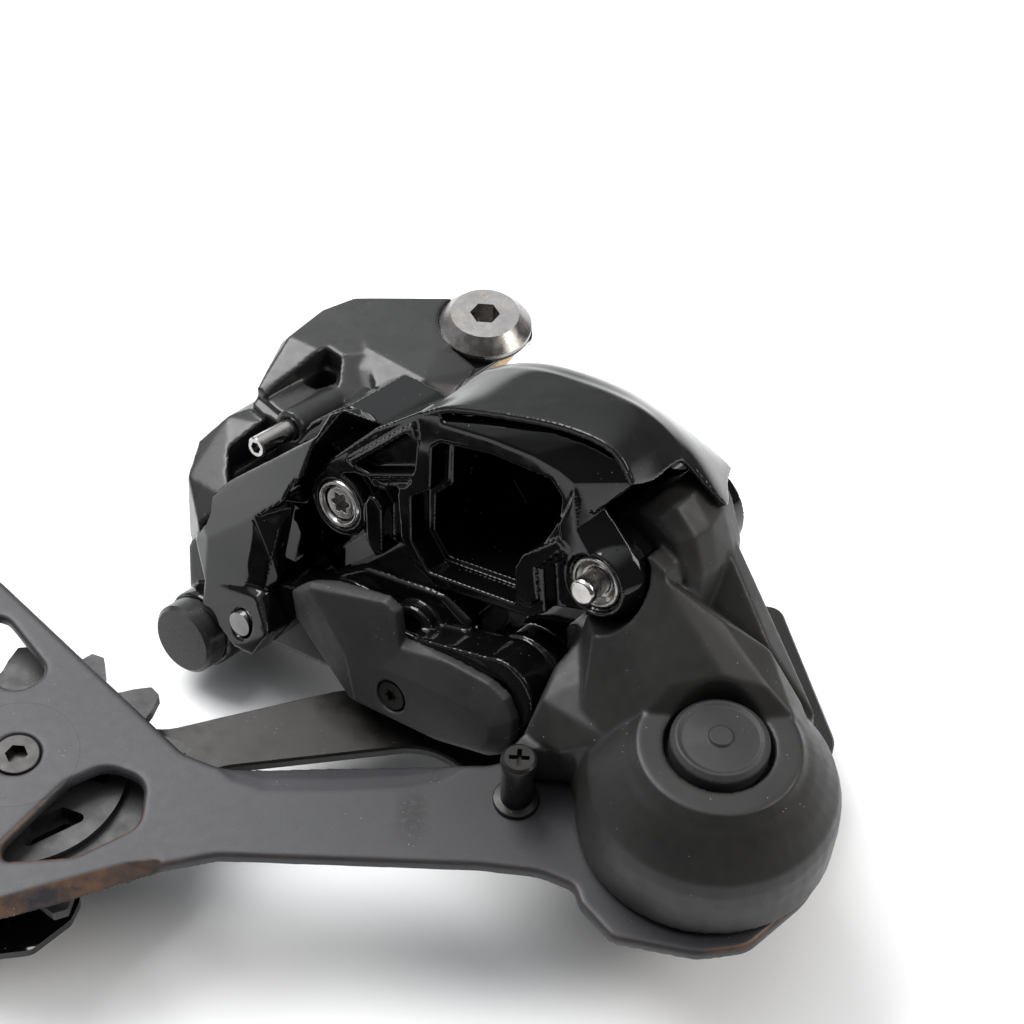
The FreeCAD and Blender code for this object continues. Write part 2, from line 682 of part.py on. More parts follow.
def knuckle_neck():
    """Slanting mass between the dome and the outboard pivot."""
    loft = DOC.addObject("Part::Loft", "knuckle_neck")
    back = section_wire("neck_back", -55.0, [(24, 4), (22, 16), (30, 21), (40, 20), (46, 12), (46, -2)])
    middle = section_wire("neck_middle", -75.0, [(12, -7), (15, 15), (26, 25), (40, 23), (51, 13), (52, -7)])
    front = section_wire("neck_front", -99.0, [(22, -8.9), (22.5, 3), (32, 9), (50, 9), (63, 3), (64, -8.9)])
    loft.Sections = [back, middle, front]
    loft.Solid = True
    loft.Ruled = True
    return loft


def knuckle_yoke():
    """Lugs of the outboard and inner pivots, drawn in the parallelogram's frame."""
    far = size("link_length")
    inner_u = size("inner_pin_u") + far
    inner_v = size("inner_pin_v")
    shoulder = size("shoulder_radius")
    body = new_body("knuckle_yoke", link_place())
    top = new_sketch(body, "-dims.lug_front - dims.side_gap")
    start = math.radians(56)
    add_outline(top, [(far - 8.8, -12.6, 1), (far - 8.4, -3.0, 4), (far - 4.4, 6.6, 4), (far + 2.0, 9.0, 3),
                      (far + shoulder * math.cos(start), shoulder * math.sin(start), 1),
                      (far + shoulder * math.cos(start / 2), shoulder * math.sin(start / 2), 6),
                      (far + shoulder, -2.0, 6), (far + 18.0, -26.0, 4), (inner_u + 2.0, -30.0, 6),
                      (inner_u - 8.0, -27.0, 6), (inner_u - 5.0, -16.0, 3)])
    pad(body, top, "dims.lug_back - dims.lug_front - 2 * dims.side_gap", up=False)
    return body


def link_room():
    """Space swept by the outer link, the inner link and their bosses, cleared from the knuckle."""
    far = size("link_length")
    inner_u = size("inner_pin_u") + far
    inner_v = size("inner_pin_v")
    boss_room = rod("boss_room", "dims.far_boss_radius + 4.8", 40.0,
                    link_place(far, 0, -size("lug_front") - size("side_gap")))
    rear_room = rod("rear_room", "dims.far_boss_radius + 4.8", 30.0,
                    link_place(far, 0, -size("lug_back") - 30.0 + size("side_gap")))
    inner_room = rod("inner_room", 11.0, 30.0, link_place(inner_u, inner_v, -9.2))
    body = new_body("sweep_room", link_place())
    swept = new_sketch(body, 30.0)
    reach = size("shoulder_radius")
    turn = math.radians(60)
    add_outline(swept, [(far, 9.2), (far + reach * math.cos(turn), reach * math.sin(turn)),
                        (far + 30, 50), (far - 60, 50), (far - 60, -13), (far - 9.0, -13),
                        (far - 8.6, -3), (far - 4.8, 6.6)])
    pad(body, swept, 90.0, up=False)
    over = new_body("over_room", link_place())
    cover = new_sketch(over, 30.0)
    add_outline(cover, [(far + reach * math.cos(turn), reach * math.sin(turn)),
                        (far + reach * math.cos(turn / 2) * 1.12, reach * math.sin(turn / 2) * 1.12),
                        (far + reach + 1.6, 2.0), (far + 60, 20), (far + 60, 60), (far + 10, 60)])
    pad(over, cover, 90.0, up=False)
    low = new_body("inner_sweep", link_place())
    below = new_sketch(low, 30.0)
    add_outline(below, [(inner_u, inner_v + 11.0), (inner_u - 60, inner_v + 11.0),
                        (inner_u - 60, inner_v - 14.0), (inner_u, inner_v - 11.0)])
    pad(low, below, 39.2, up=False)
    return fused("link_room", [boss_room, rear_room, inner_room, body, over, low])


def knuckle():
    """Knuckle: dome, neck and yoke in one piece, with a stop tab for the cage."""
    tab = new_body("stop_tab")
    plan = new_sketch(tab, "dims.knuckle_low + 0.5")
    lower = size("stop_pin_y") + size("stop_pin_radius") + 0.15
    add_outline(plan, [(8.5, lower, 1), (24.0, lower, 0.5), (24.0, lower + 14, 1), (10.0, lower + 10, 2)])
    pad(tab, plan, 9.0)
    far = size("link_length")
    inner_u = size("inner_pin_u") + far
    solid = fused("knuckle_whole", [knuckle_dome(), knuckle_neck(), knuckle_yoke(), tab])
    spring_room = tube("spring_room", "dims.axle_radius + 0.05", "dims.knuckle_bore_radius",
                       "dims.knuckle_bore_top - dims.knuckle_low", pivot_place(size("knuckle_low")))
    axle_room = rod("axle_room", "dims.axle_radius + 0.05", 30, pivot_place(-15))
    cap_room = rod("cap_room", "dims.knuckle_cap_radius + 0.5", 20, pivot_place(10.0))
    outer_bore = rod("outer_bore", "dims.pin_radius + dims.running_gap", 80, link_place(far, 0, -50))
    inner_bore = rod("inner_bore", "dims.pin_radius", 34, link_place(inner_u, size("inner_pin_v"), -24))
    rooms = fused("knuckle_rooms", [link_room(), spring_room, axle_room, cap_room, outer_bore, inner_bore])
    return finished(less("p_knuckle", solid, rooms), "p_knuckle")


def knuckle_fittings():
    """Cap, spring, clutch, base and seal inside and under the dome."""
    cap_low = 11.2
    top = size("knuckle_cap_top")
    radius = size("knuckle_cap_radius")
    cap = turned_body("knuckle_cap", [(0, cap_low), (radius, cap_low), (radius, top - 1.4, 0.6),
                                      (radius - 1.0, top - 0.5, 0.5), (radius - 1.8, top - 0.9, 0.5),
                                      (2.2, top - 0.4, 0.3), (1.8, top, 0.2), (0, top)], pivot_place())
    finished(cap, "knuckle_cap")
    clutch = tube("clutch_ring", 5.4, 8.4, 12.6, pivot_place(-7.6))
    finished(clutch, "clutch_ring")
    base = tube("knuckle_base", 5.4, "dims.knuckle_bore_radius - 0.1", 1.0, pivot_place(-9.0))
    finished(base, "knuckle_base")
    seal = tube("knuckle_seal", 18.2, 20.8, 0.7, pivot_place(-9.75))
    finished(seal, "knuckle_seal")


def cage_spring():
    """Torsion spring round the clutch, wound as a helix."""
    wire = 1.1
    radius = 13.0
    pitch = 2.5
    turns = 4.5
    helix = Part.makeHelix(pitch, pitch * turns, radius)
    start = helix.Edges[0].valueAt(helix.Edges[0].FirstParameter)
    tangent = helix.Edges[0].tangentAt(helix.Edges[0].FirstParameter)
    profile = Part.Wire(Part.makeCircle(wire, start, tangent))
    coil = Part.Wire(helix.Edges).makePipeShell([profile], True, True)
    spring = DOC.addObject("Part::Feature", "cage_spring")
    spring.Shape = coil
    spring.Placement = pivot_place(-6.6)
    return finished(spring, "cage_spring")


# ---------------------------------------------------------------- cage

def outer_plate():
    """Outboard cage plate, with windows round the tension pulley's hub."""
    body = new_body("outer_plate")
    plan = new_sketch(body, "dims.plate_top")
    add_outline(plan, [(6.5, -90.4, 6), (-20.0, -92.4, 30), (-38.5, -94.6, 8), (-45.5, -92.0, 6),
                       (-84.0, -57.2, 4), (-92.0, -55.0, 4), (-101.0, -66.0, 10), (-104.0, -98.0, 20),
                       (-96.0, -122.0, 14), (-70.0, -125.6, 12), (-46.0, -114.6, 12), (-37.0, -111.8, 12),
                       (6.0, -110.4, 20), (16.0, -111.0, 10), (21.6, -113.2, 2), (22.7, -116.4, 2),
                       (28.0, -122.4, 3), (42.0, -124.4, 10), (50.0, -122.6, 6), (60.0, -112.6, 14),
                       (65.6, -101.0, 12), (64.0, -86.0, 14), (54.0, -70.0, 14), (36.0, -66.0, 14),
                       (22.0, -72.0, 10), (17.0, -86.0, 6)])
    add_outline(plan, [(-64.0, -99.6, 4), (-58.0, -95.6, 5), (-51.0, -98.0, 4), (-50.6, -107.0, 4),
                       (-60.0, -113.6, 5), (-72.0, -115.4, 1.5), (-72.0, -112.0, 1.5)])
    add_outline(plan, [(-83.5, -63.0, 3), (-71.0, -77.2, 3), (-76.0, -81.8, 4), (-88.0, -76.0, 4)])
    add_outline(plan, [(-95.0, -80.0, 2.5), (-87.6, -86.0, 2), (-87.2, -103.0, 2), (-95.0, -108.0, 2.5)])
    pad(body, plan, "dims.plate_thickness", up=False)
    bevel(body, flat_at(size("plate_top")), 0.6)
    bores = new_sketch(body, "dims.plate_top")
    add_circle(bores, size("cage_pivot_x"), size("cage_pivot_y"), "dims.axle_radius")
    add_circle(bores, size("guide_x"), size("guide_y"), "dims.pulley_bolt_radius")
    add_circle(bores, size("tension_x"), size("tension_y"), "dims.pulley_bolt_radius")
    pocket(body, bores, 5.0)
    seats = new_sketch(body, "dims.plate_top")
    add_circle(seats, size("tension_x"), size("tension_y"), "dims.pulley_bolt_head + 0.1")
    add_circle(seats, size("guide_x"), size("guide_y"), "dims.pulley_bolt_head + 0.1")
    pocket(body, seats, 1.2)
    return finished(body, "outer_plate")


def inner_plate():
    """Inboard cage plate, a narrow strip that widens round both pulleys."""
    body = new_body("inner_plate")
    plan = new_sketch(body, "dims.inner_plate_top")
    add_outline(plan, [(-52.0, -78.0, 10), (-22.5, -67.0, 10), (8.0, -60.0, 16), (30.0, -46.0, 14),
                       (56.6, -40.4, 3), (60.0, -41.0, 3), (68.8, -71.0, 5), (64.0, -92.0, 14),
                       (50.0, -108.0, 10), (32.0, -106.0, 14), (12.0, -90.0, 12), (-4.4, -77.6, 12),
                       (-41.8, -85.6, 10), (-52.0, -96.0, 10), (-60.0, -112.0, 8), (-73.0, -116.0, 10),
                       (-92.0, -108.0, 12), (-96.0, -90.0, 12), (-84.0, -74.0, 12)])
    pad(body, plan, "dims.inner_plate_thickness", up=False)
    bevel(body, flat_at(size("inner_plate_top")), 0.4)
    bores = new_sketch(body, "dims.inner_plate_top")
    add_circle(bores, size("guide_x"), size("guide_y"), "dims.pulley_bolt_radius")
    add_circle(bores, size("tension_x"), size("tension_y"), "dims.pulley_bolt_radius")
    pocket(body, bores, 5.0)
    return finished(body, "inner_plate")


def chain_guard():
    """Tab beside the tension pulley that keeps the chain on, standing on the inner plate."""
    body = new_body("chain_guard")
    plan = new_sketch(body, "dims.inner_plate_top - dims.inner_plate_thickness")
    add_outline(plan, [(-92.0, -112.0, 4), (-60.0, -108.0, 4), (-62.0, -116.5, 3), (-67.5, -122.6, 3),
                       (-84.0, -126.0, 4)])
    pad(body, plan, 1.8, up=False)
    return finished(body, "chain_guard")


def cage_axle():
    """Axle of the cage, fixed in the outer plate and running in the knuckle."""
    radius = size("axle_radius")
    low = size("plate_top") - size("plate_thickness")
    profile = [(0, low - 1.0), (radius + 2.5, low - 1.0), (radius + 2.5, low), (radius, low),
               (radius, 9.6, 0.5), (0, 9.6)]
    return finished(turned_body("cage_axle", profile, pivot_place()), "cage_axle")


def stop_pin():
    """Cage stop on the outer plate: flange, round pin and cross-recessed head."""
    height = size("stop_pin_height")
    radius = size("stop_pin_radius")
    profile = [(0, 0), (radius + 0.9, 0), (radius + 0.9, 0.8, 0.3), (radius - 0.4, 1.0),
               (radius - 0.4, height - 2.0), (radius, height - 1.8), (radius, height - 0.5, 0.4),
               (radius - 0.6, height), (0, height)]
    body = turned_body("stop_pin", profile,
                       world_place(size("stop_pin_x"), size("stop_pin_y"), size("plate_top")))
    cross = new_sketch(body, "dims.stop_pin_height")
    arm = 1.7
    half = 0.4
    add_outline(cross, [(arm, -half), (arm, half), (half, half), (half, arm), (-half, arm), (-half, half),
                        (-arm, half), (-arm, -half), (-half, -half), (-half, -arm), (half, -arm),
                        (half, -half)])
    pocket(body, cross, 1.4)
    return finished(body, "stop_pin")


# ---------------------------------------------------------------- pulleys

def tooth_profile():
    """Pulley outline: rounded gullets for the chain's rollers between narrow teeth."""
    teeth = int(size("pulley_teeth"))
    step = 2 * math.pi / teeth
    tip = size("pulley_tip_radius")
    root = size("pulley_root_radius")
    middle = (tip + root) / 2
    corners = []
    for i in range(teeth):
        turn = i * step
        for reach, offset, rounding in ((root, -0.30, 2.4), (middle, -0.19, 2.0), (tip, -0.07, 0.5),
                                        (tip, 0.07, 0.5), (middle, 0.19, 2.0), (root, 0.30, 2.4)):
            angle = turn + offset * step * 1.25
            corners.append((reach * math.cos(angle), reach * math.sin(angle), rounding))
    return corners


def pulley(name, x, y, phase):
    place = Placement(Vector(x, y, size("pulley_plane")), Rotation(Vector(0, 0, 1), phase))
    body = new_body(name, place)
    teeth = new_sketch(body, "-dims.tooth_width / 2")
    add_outline(teeth, tooth_profile())
    pad(body, teeth, "dims.tooth_width")
    rim = new_sketch(body, -2.6)
    add_circle(rim, 0, 0, "dims.pulley_root_radius - 4.5")
    pad(body, rim, 5.2)
    bore = new_sketch(body, 4.0)
    add_circle(bore, 0, 0, "dims.pulley_bore_radius")
    pocket(body, bore, 8.0)
    windows = new_sketch(body, 4.0)
    spokes = 5
    for i in range(spokes):
        middle = 2 * math.pi * i / spokes
        corners = []
        for reach, offset in ((10.6, -0.30), (15.8, -0.42), (15.8, 0.42), (10.6, 0.30)):
            corners.append((reach * math.cos(middle + offset), reach * math.sin(middle + offset), 1.0))
        add_outline(windows, corners)
    pocket(body, windows, 8.0)
    return finished(body, name)


def pulley_fittings(name, x, y):
    """Bearing sleeve, side caps and bolt of one pulley, fixed to the cage."""
    plane = size("pulley_plane")
    top = size("plate_top")
    plate_low = top - size("plate_thickness")
    inner_top = size("inner_plate_top")
    inner_low = inner_top - size("inner_plate_thickness")
    sleeve = tube(name + "_sleeve", "dims.pulley_bolt_radius + 0.05",
                  "dims.pulley_bore_radius - dims.running_gap", 6.4, world_place(x, y, plane - 3.2))
    finished(sleeve, name + "_sleeve")
    caps = [tube(f"{name}_cap_{i}", "dims.pulley_bolt_radius + 0.05", "dims.pulley_cap_radius", length,
                 world_place(x, y, low))
            for i, (low, length) in enumerate(((plane + 3.2, plate_low - plane - 3.2),
                                               (inner_top, plane - 3.2 - inner_top)))]
    finished(grouped(name + "_caps", caps), name + "_caps")
    profile = [(0, inner_low), (size("pulley_bolt_radius"), inner_low),
               (size("pulley_bolt_radius"), top - 1.2), (size("pulley_bolt_head"), top - 1.2),
               (size("pulley_bolt_head"), top, 0.3), (0, top)]
    bolt = turned_body(name + "_bolt", profile, world_place(x, y, 0))
    socket = new_sketch(bolt, "dims.plate_top")
    add_outline(socket, hexagon(3.4))
    pocket(bolt, socket, 1.8)
    finished(bolt, name + "_bolt")


# ---------------------------------------------------------------- assembly

def assemble():
    hanger_bolt()
    bolt_washer()
    bracket_bush()
    lug = bracket_lug_solid()
    finished(lug, "bracket_lug")
    shell = bracket_body_solid(lug)
    finished(shell, "bracket_body")
    finished(motor_cover_solid(lug, shell), "motor_cover")
    drive_cap()
    drive_unit()
    tension_screw()
    link = outer_link()
    outer_fairing(link)
    fairing_ribs(link)
    battery_contacts()
    outer_pins()
    inner_link()
    inner_cover()
    cover_screw()
    inner_pins()
    link_spring()
    knuckle()
    knuckle_fittings()
    cage_spring()
    outer_plate()
    inner_plate()
    chain_guard()
    cage_axle()
    stop_pin()
    guide = (size("guide_x"), size("guide_y"))
    tension = (size("tension_x"), size("tension_y"))
    pulley("guide_pulley", guide[0], guide[1], 8.0)
    pulley("tension_pulley", tension[0], tension[1], 17.1)
    pulley_fittings("guide", guide[0], guide[1])
    pulley_fittings("tension", tension[0], tension[1])


def check_and_export():
    """Stops on any failed object, then writes one file for each sub-part."""
    DOC.recompute()
    failed = [thing.Label for thing in DOC.Objects if {"Invalid", "Error"} & set(thing.State)]
    broken = [node.Label for node in NODES if node.Shape.isNull() or not node.Shape.isValid()]
    if failed or broken:
        raise RuntimeError(f"failed objects {failed}, sub-parts without a valid shape {broken}")
    os.makedirs("parts", exist_ok=True)
    for node in NODES:
        node.Shape.exportStep(f"parts/{node.Label}.step")


assemble()
check_and_export()
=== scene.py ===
import bmesh
import bpy
import json
import math
from mathutils import Matrix, Vector


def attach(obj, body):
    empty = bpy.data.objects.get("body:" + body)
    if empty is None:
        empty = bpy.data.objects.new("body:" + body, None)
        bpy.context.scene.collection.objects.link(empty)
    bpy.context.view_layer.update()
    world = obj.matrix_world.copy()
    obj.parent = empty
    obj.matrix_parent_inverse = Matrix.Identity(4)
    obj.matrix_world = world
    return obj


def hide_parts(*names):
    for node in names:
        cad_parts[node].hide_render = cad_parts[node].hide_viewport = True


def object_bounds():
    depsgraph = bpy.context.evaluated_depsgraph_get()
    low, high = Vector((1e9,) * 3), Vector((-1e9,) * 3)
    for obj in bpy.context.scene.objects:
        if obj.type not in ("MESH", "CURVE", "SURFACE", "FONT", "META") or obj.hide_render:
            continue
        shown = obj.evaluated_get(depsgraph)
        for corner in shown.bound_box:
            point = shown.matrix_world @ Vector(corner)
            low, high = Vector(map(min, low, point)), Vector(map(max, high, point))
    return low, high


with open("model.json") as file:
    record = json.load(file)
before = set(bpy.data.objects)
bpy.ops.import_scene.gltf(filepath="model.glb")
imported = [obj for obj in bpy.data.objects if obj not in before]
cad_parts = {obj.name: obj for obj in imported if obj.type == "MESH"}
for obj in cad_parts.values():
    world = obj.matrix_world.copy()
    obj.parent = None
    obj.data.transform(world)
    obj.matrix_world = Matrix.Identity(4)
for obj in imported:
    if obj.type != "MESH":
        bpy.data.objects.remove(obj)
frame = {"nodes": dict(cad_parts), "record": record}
cad_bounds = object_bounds()
NODES = frame["nodes"]
BODY_OF = {node: body for body, nodes in frame["record"]["behaviour"]["bodies"].items() for node in nodes}
SLOT_OF = {part["node"]: part["material_slot"] for part in frame["record"]["subparts"]}


# ---------------------------------------------------------------- material building blocks

class Nodes:
    """A material's node tree with short calls for the nodes used here."""

    def __init__(self, name):
        self.material = bpy.data.materials.new(name)
        self.material.use_nodes = True
        self.tree = self.material.node_tree
        self.shader = self.tree.nodes["Principled BSDF"]
        self.place = self.add("ShaderNodeTexCoord").outputs["Object"]
        self.normal = self.add("ShaderNodeTexCoord").outputs["Normal"]

    def add(self, kind, **settings):
        node = self.tree.nodes.new(kind)
        for key, value in settings.items():
            setattr(node, key, value)
        return node

    def link(self, source, target):
        self.tree.links.new(source, target)

    def plug(self, value, socket):
        """Sets a socket to a constant or links it to another socket."""
        if isinstance(value, bpy.types.NodeSocket):
            self.link(value, socket)
        else:
            socket.default_value = value

    def noise(self, scale, detail=3.0, rough=0.5):
        """Noise from 0 to 1 whose grain is about 1/scale metres."""
        node = self.add("ShaderNodeTexNoise")
        node.inputs["Scale"].default_value = scale
        node.inputs["Detail"].default_value = detail
        node.inputs["Roughness"].default_value = rough
        self.link(self.place, node.inputs["Vector"])
        return node.outputs["Fac"]

    def cells(self, scale):
        """Distance to the nearest of many scattered points."""
        node = self.add("ShaderNodeTexVoronoi")
        node.inputs["Scale"].default_value = scale
        self.link(self.place, node.inputs["Vector"])
        return node.outputs["Distance"]

    def span(self, value, low, high, to_low=0.0, to_high=1.0):
        """Remaps a value from low..high to to_low..to_high, clamped."""
        node = self.add("ShaderNodeMapRange")
        node.clamp = True
        self.plug(value, node.inputs["Value"])
        for name, number in (("From Min", low), ("From Max", high), ("To Min", to_low), ("To Max", to_high)):
            node.inputs[name].default_value = number
        return node.outputs["Result"]

    def calc(self, operation, a, b=0.0, clamp=False):
        """One sum of two values or sockets."""
        node = self.add("ShaderNodeMath", operation=operation, use_clamp=clamp)
        self.plug(a, node.inputs[0])
        self.plug(b, node.inputs[1])
        return node.outputs["Value"]

    def mix(self, mask, first, second):
        """Colour between two colours."""
        node = self.add("ShaderNodeMix", data_type="RGBA")
        self.plug(mask, node.inputs["Factor"])
        self.plug(first, node.inputs["A"])
        self.plug(second, node.inputs["B"])
        return node.outputs["Result"]

    def near(self, value, centre, outer, inner):
        """1 where a value is within inner of centre, falling to 0 at outer."""
        away = self.calc("ABSOLUTE", self.calc("SUBTRACT", value, centre))
        return self.span(away, outer, inner)

    def radius_from(self, centre_x, centre_y):
        """Distance from an upright axis."""
        x, y, _z = self.axes(self.place)
        dx = self.calc("SUBTRACT", x, centre_x)
        dy = self.calc("SUBTRACT", y, centre_y)
        square = self.calc("ADD", self.calc("MULTIPLY", dx, dx), self.calc("MULTIPLY", dy, dy))
        return self.calc("SQRT", square)

    def axes(self, vector):
        """The three numbers of a vector."""
        split = self.add("ShaderNodeSeparateXYZ")
        self.link(vector, split.inputs["Vector"])
        return split.outputs

    def bump(self, height, strength, distance):
        """Height in 0..1 times distance in metres, stacked on any bump already set."""
        node = self.add("ShaderNodeBump")
        node.inputs["Strength"].default_value = strength
        node.inputs["Distance"].default_value = distance
        self.link(height, node.inputs["Height"])
        linked = self.shader.inputs["Normal"].links
        if linked:
            self.link(linked[0].from_socket, node.inputs["Normal"])
        self.link(node.outputs["Normal"], self.shader.inputs["Normal"])

    def set(self, **values):
        """Sets shader sockets; an underscore stands for the space in a socket's name."""
        for key, value in values.items():
            self.plug(value, self.shader.inputs[key.replace("_", " ")])


def grey(level, warm=0.0):
    """Grey of one brightness, with a little more red and less blue when warm."""
    return (level * (1 + warm), level, level * (1 - warm), 1.0)


# ---------------------------------------------------------------- finishes

TURNING_PITCH = 0.00022     # between the fine lines on turned steel, in metres
STAIN_BROWN = (0.16, 0.09, 0.05, 1.0)
# Brown laid on the outer plate's lower sloping faces
LOWER_SLOPE_BROWN = (0.115, 0.062, 0.036, 1.0)
MARK_BLACK = 0.006
SCUFF = (-0.0058, -0.1015)      # dark mark on the outer plate
HUB = (-0.0734, -0.0946)        # axis of the tension pulley
HUB_LINE_RADIUS = 0.0106


def add_dust(nodes, base, roughness, amount):
    """Pale specks of dust, well under a millimetre across, over a colour and a roughness."""
    speck = nodes.span(nodes.cells(900.0), 0.10, 0.05)
    patch = nodes.span(nodes.noise(240.0, 1.0), 0.62 - amount, 0.66)
    mask = nodes.calc("MULTIPLY", nodes.calc("MULTIPLY", speck, patch), 0.5)
    base = nodes.mix(mask, base, grey(0.5))
    return base, nodes.calc("ADD", roughness, mask, clamp=True)


def painted(name, level, low_rough, high_rough, grain=0.0, metallic=0.0, warm=0.0, dust=0.05, shine=0.5):
    """Paint over metal or moulded plastic: uneven gloss, fine grain and a little dust."""
    nodes = Nodes(name)
    tone = nodes.span(nodes.noise(90.0, 4.0), 0.3, 0.7)
    base = nodes.mix(tone, grey(level * 0.8, warm), grey(level * 1.25, warm))
    roughness = nodes.span(nodes.noise(420.0, 4.0), 0.3, 0.7, low_rough, high_rough)
    base, roughness = add_dust(nodes, base, roughness, dust)
    nodes.set(Base_Color=base, Roughness=roughness, Metallic=metallic, Specular_IOR_Level=shine)
    if grain:
        nodes.bump(nodes.noise(3200.0, 2.0), grain, 0.00006)
        nodes.bump(nodes.noise(1300.0, 2.0), grain * 0.6, 0.0001)
    else:
        nodes.bump(nodes.noise(300.0, 1.0), 0.04, 0.0001)
    return nodes.material


def metal(name, colour, low_rough, high_rough, turned=False, stain=0.0):
    """Bare metal, with brown stain and, when turned, fine lines round the frame's own Z axis."""
    nodes = Nodes(name)
    base = nodes.mix(nodes.span(nodes.noise(260.0, 5.0), 0.35, 0.65), colour,
                     tuple(c * 0.82 for c in colour[:3]) + (1.0,))
    roughness = nodes.span(nodes.noise(700.0, 4.0), 0.3, 0.7, low_rough, high_rough)
    if stain:
        mask = nodes.calc("MULTIPLY", nodes.span(nodes.noise(330.0, 6.0, rough=0.65), 0.55, 0.7), stain)
        base = nodes.mix(mask, base, STAIN_BROWN)
        roughness = nodes.calc("ADD", roughness, nodes.calc("MULTIPLY", mask, 0.3), clamp=True)
    nodes.set(Base_Color=base, Roughness=roughness, Metallic=1.0)
    if turned:
        turns = nodes.calc("MULTIPLY", nodes.radius_from(0.0, 0.0), 2 * math.pi / TURNING_PITCH)
        wave = nodes.calc("SINE", turns)
        nodes.bump(nodes.span(wave, -1.0, 1.0), 0.25, 0.00002)
    nodes.bump(nodes.noise(2600.0, 3.0), 0.12, 0.00003)
    return nodes.material


def marked_plate():
    """Dark plate with a powdery grain: brown in patches on the lower sloping faces near the ends, a dark
    scuff and a line round the hub.
    """
    nodes = Nodes("plate_finish")
    x, y, _z = nodes.axes(nodes.place)
    cloud = nodes.span(nodes.noise(30.0, 3.0), 0.3, 0.7)
    base = nodes.mix(cloud, (0.020, 0.020, 0.024, 1.0), (0.026, 0.026, 0.030, 1.0))
    speckle = nodes.span(nodes.noise(4200.0, 2.0), 0.58, 0.72)
    base = nodes.mix(nodes.calc("MULTIPLY", speckle, 0.25), base, grey(0.08))
    slope = nodes.axes(nodes.normal)[2]
    # Brown in patches on faces that slope, on the lower part and towards the ends
    chamfer = nodes.calc("MULTIPLY", nodes.span(slope, 0.35, 0.5), nodes.span(slope, 0.985, 0.93))
    lower = nodes.span(y, -0.100, -0.108)
    patchy = nodes.span(nodes.noise(150.0, 5.0, rough=0.7), 0.36, 0.62)
    slope_brown = nodes.calc("MULTIPLY", nodes.calc("MULTIPLY", chamfer, lower), patchy)
    ends = nodes.calc("MAXIMUM", nodes.span(x, -0.035, -0.055), nodes.span(x, 0.040, 0.048))
    slope_brown = nodes.calc("MULTIPLY", slope_brown, nodes.calc("MAXIMUM", ends, 0.15))
    base = nodes.mix(slope_brown, base, LOWER_SLOPE_BROWN)
    across = nodes.near(x, SCUFF[0], 0.0035, 0.001)
    scuff = nodes.calc("MULTIPLY", across, nodes.near(y, SCUFF[1], 0.007, 0.002))
    scuff = nodes.calc("MULTIPLY", scuff, nodes.span(nodes.noise(900.0, 5.0, rough=0.7), 0.36, 0.50))
    base = nodes.mix(nodes.calc("MULTIPLY", scuff, 0.9), base, grey(MARK_BLACK))
    line = nodes.near(nodes.radius_from(*HUB), HUB_LINE_RADIUS, 0.00016, 0.00006)
    base = nodes.mix(nodes.calc("MULTIPLY", line, 0.7), base, grey(MARK_BLACK))
    roughness = nodes.span(nodes.noise(500.0, 4.0), 0.3, 0.7, 0.46, 0.50)
    base, roughness = add_dust(nodes, base, roughness, 0.05)
    nodes.set(Base_Color=base, Roughness=roughness, Metallic=0.2)
    nodes.bump(nodes.noise(2600.0, 3.0), 0.25, 0.00005)
    return nodes.material


def make_finishes():
    """One material for each slot of the record."""
    return {
        "steel": metal("steel", (0.36, 0.345, 0.33, 1.0), 0.20, 0.34, turned=True, stain=0.7),
        "pin_steel": metal("pin_steel", (0.52, 0.50, 0.48, 1.0), 0.12, 0.24, stain=0.25),
        "bronze": metal("bronze", (0.50, 0.36, 0.20, 1.0), 0.22, 0.38, stain=0.2),
        "gold": metal("gold", (0.85, 0.62, 0.22, 1.0), 0.10, 0.20),
        "motor_can": metal("motor_can", (0.52, 0.52, 0.52, 1.0), 0.25, 0.40),
        "gloss_black": painted("gloss_black", 0.003, 0.03, 0.08, shine=0.38),
        "satin_grey": painted("satin_grey", 0.020, 0.24, 0.34, grain=0.05, shine=0.38),
        "fairing": painted("fairing", 0.008, 0.12, 0.20, shine=0.32),
        "knuckle_black": painted("knuckle_black", 0.012, 0.40, 0.50, grain=0.08, warm=0.06, shine=0.35),
        "matte_grey": painted("matte_grey", 0.022, 0.46, 0.58, grain=0.30, shine=0.3),
        "black_plastic": painted("black_plastic", 0.012, 0.42, 0.58, grain=0.2),
        "black_screw": painted("black_screw", 0.012, 0.26, 0.40, grain=0.05, metallic=0.5, warm=0.1),
        "rubber": painted("rubber", 0.008, 0.60, 0.75, grain=0.25),
        "plate_grey": marked_plate(),
    }


# ---------------------------------------------------------------- pieces from the frame's meshes

def finish_piece(obj, node):
    """Body, slot and material of a piece that stands for a CAD node."""
    obj.data.materials.clear()
    obj.data.materials.append(FINISHES[SLOT_OF[node]])
    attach(obj, BODY_OF[node])
    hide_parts(node)


def applied(obj):
    """Puts the object's modifiers into its mesh."""
    graph = bpy.context.evaluated_depsgraph_get()
    mesh = bpy.data.meshes.new_from_object(obj.evaluated_get(graph))
    obj.modifiers.clear()
    obj.data = mesh


def new_blank(mesh):
    """An object to model with: a base, or something added to it or cut from it."""
    blank = bpy.data.objects.new("blank", mesh)
    bpy.context.collection.objects.link(blank)
    return blank


def copy_of(node):
    """A blank with a copy of a CAD node's mesh."""
    return new_blank(NODES[node].data.copy())


def even_out(obj, voxel):
    """Rebuilds the surface in small even faces, as wide as a voxel in millimetres."""
    remesh = obj.modifiers.new("even", "REMESH")
    remesh.mode = "VOXEL"
    remesh.voxel_size = voxel / 1000
    remesh.use_smooth_shade = True


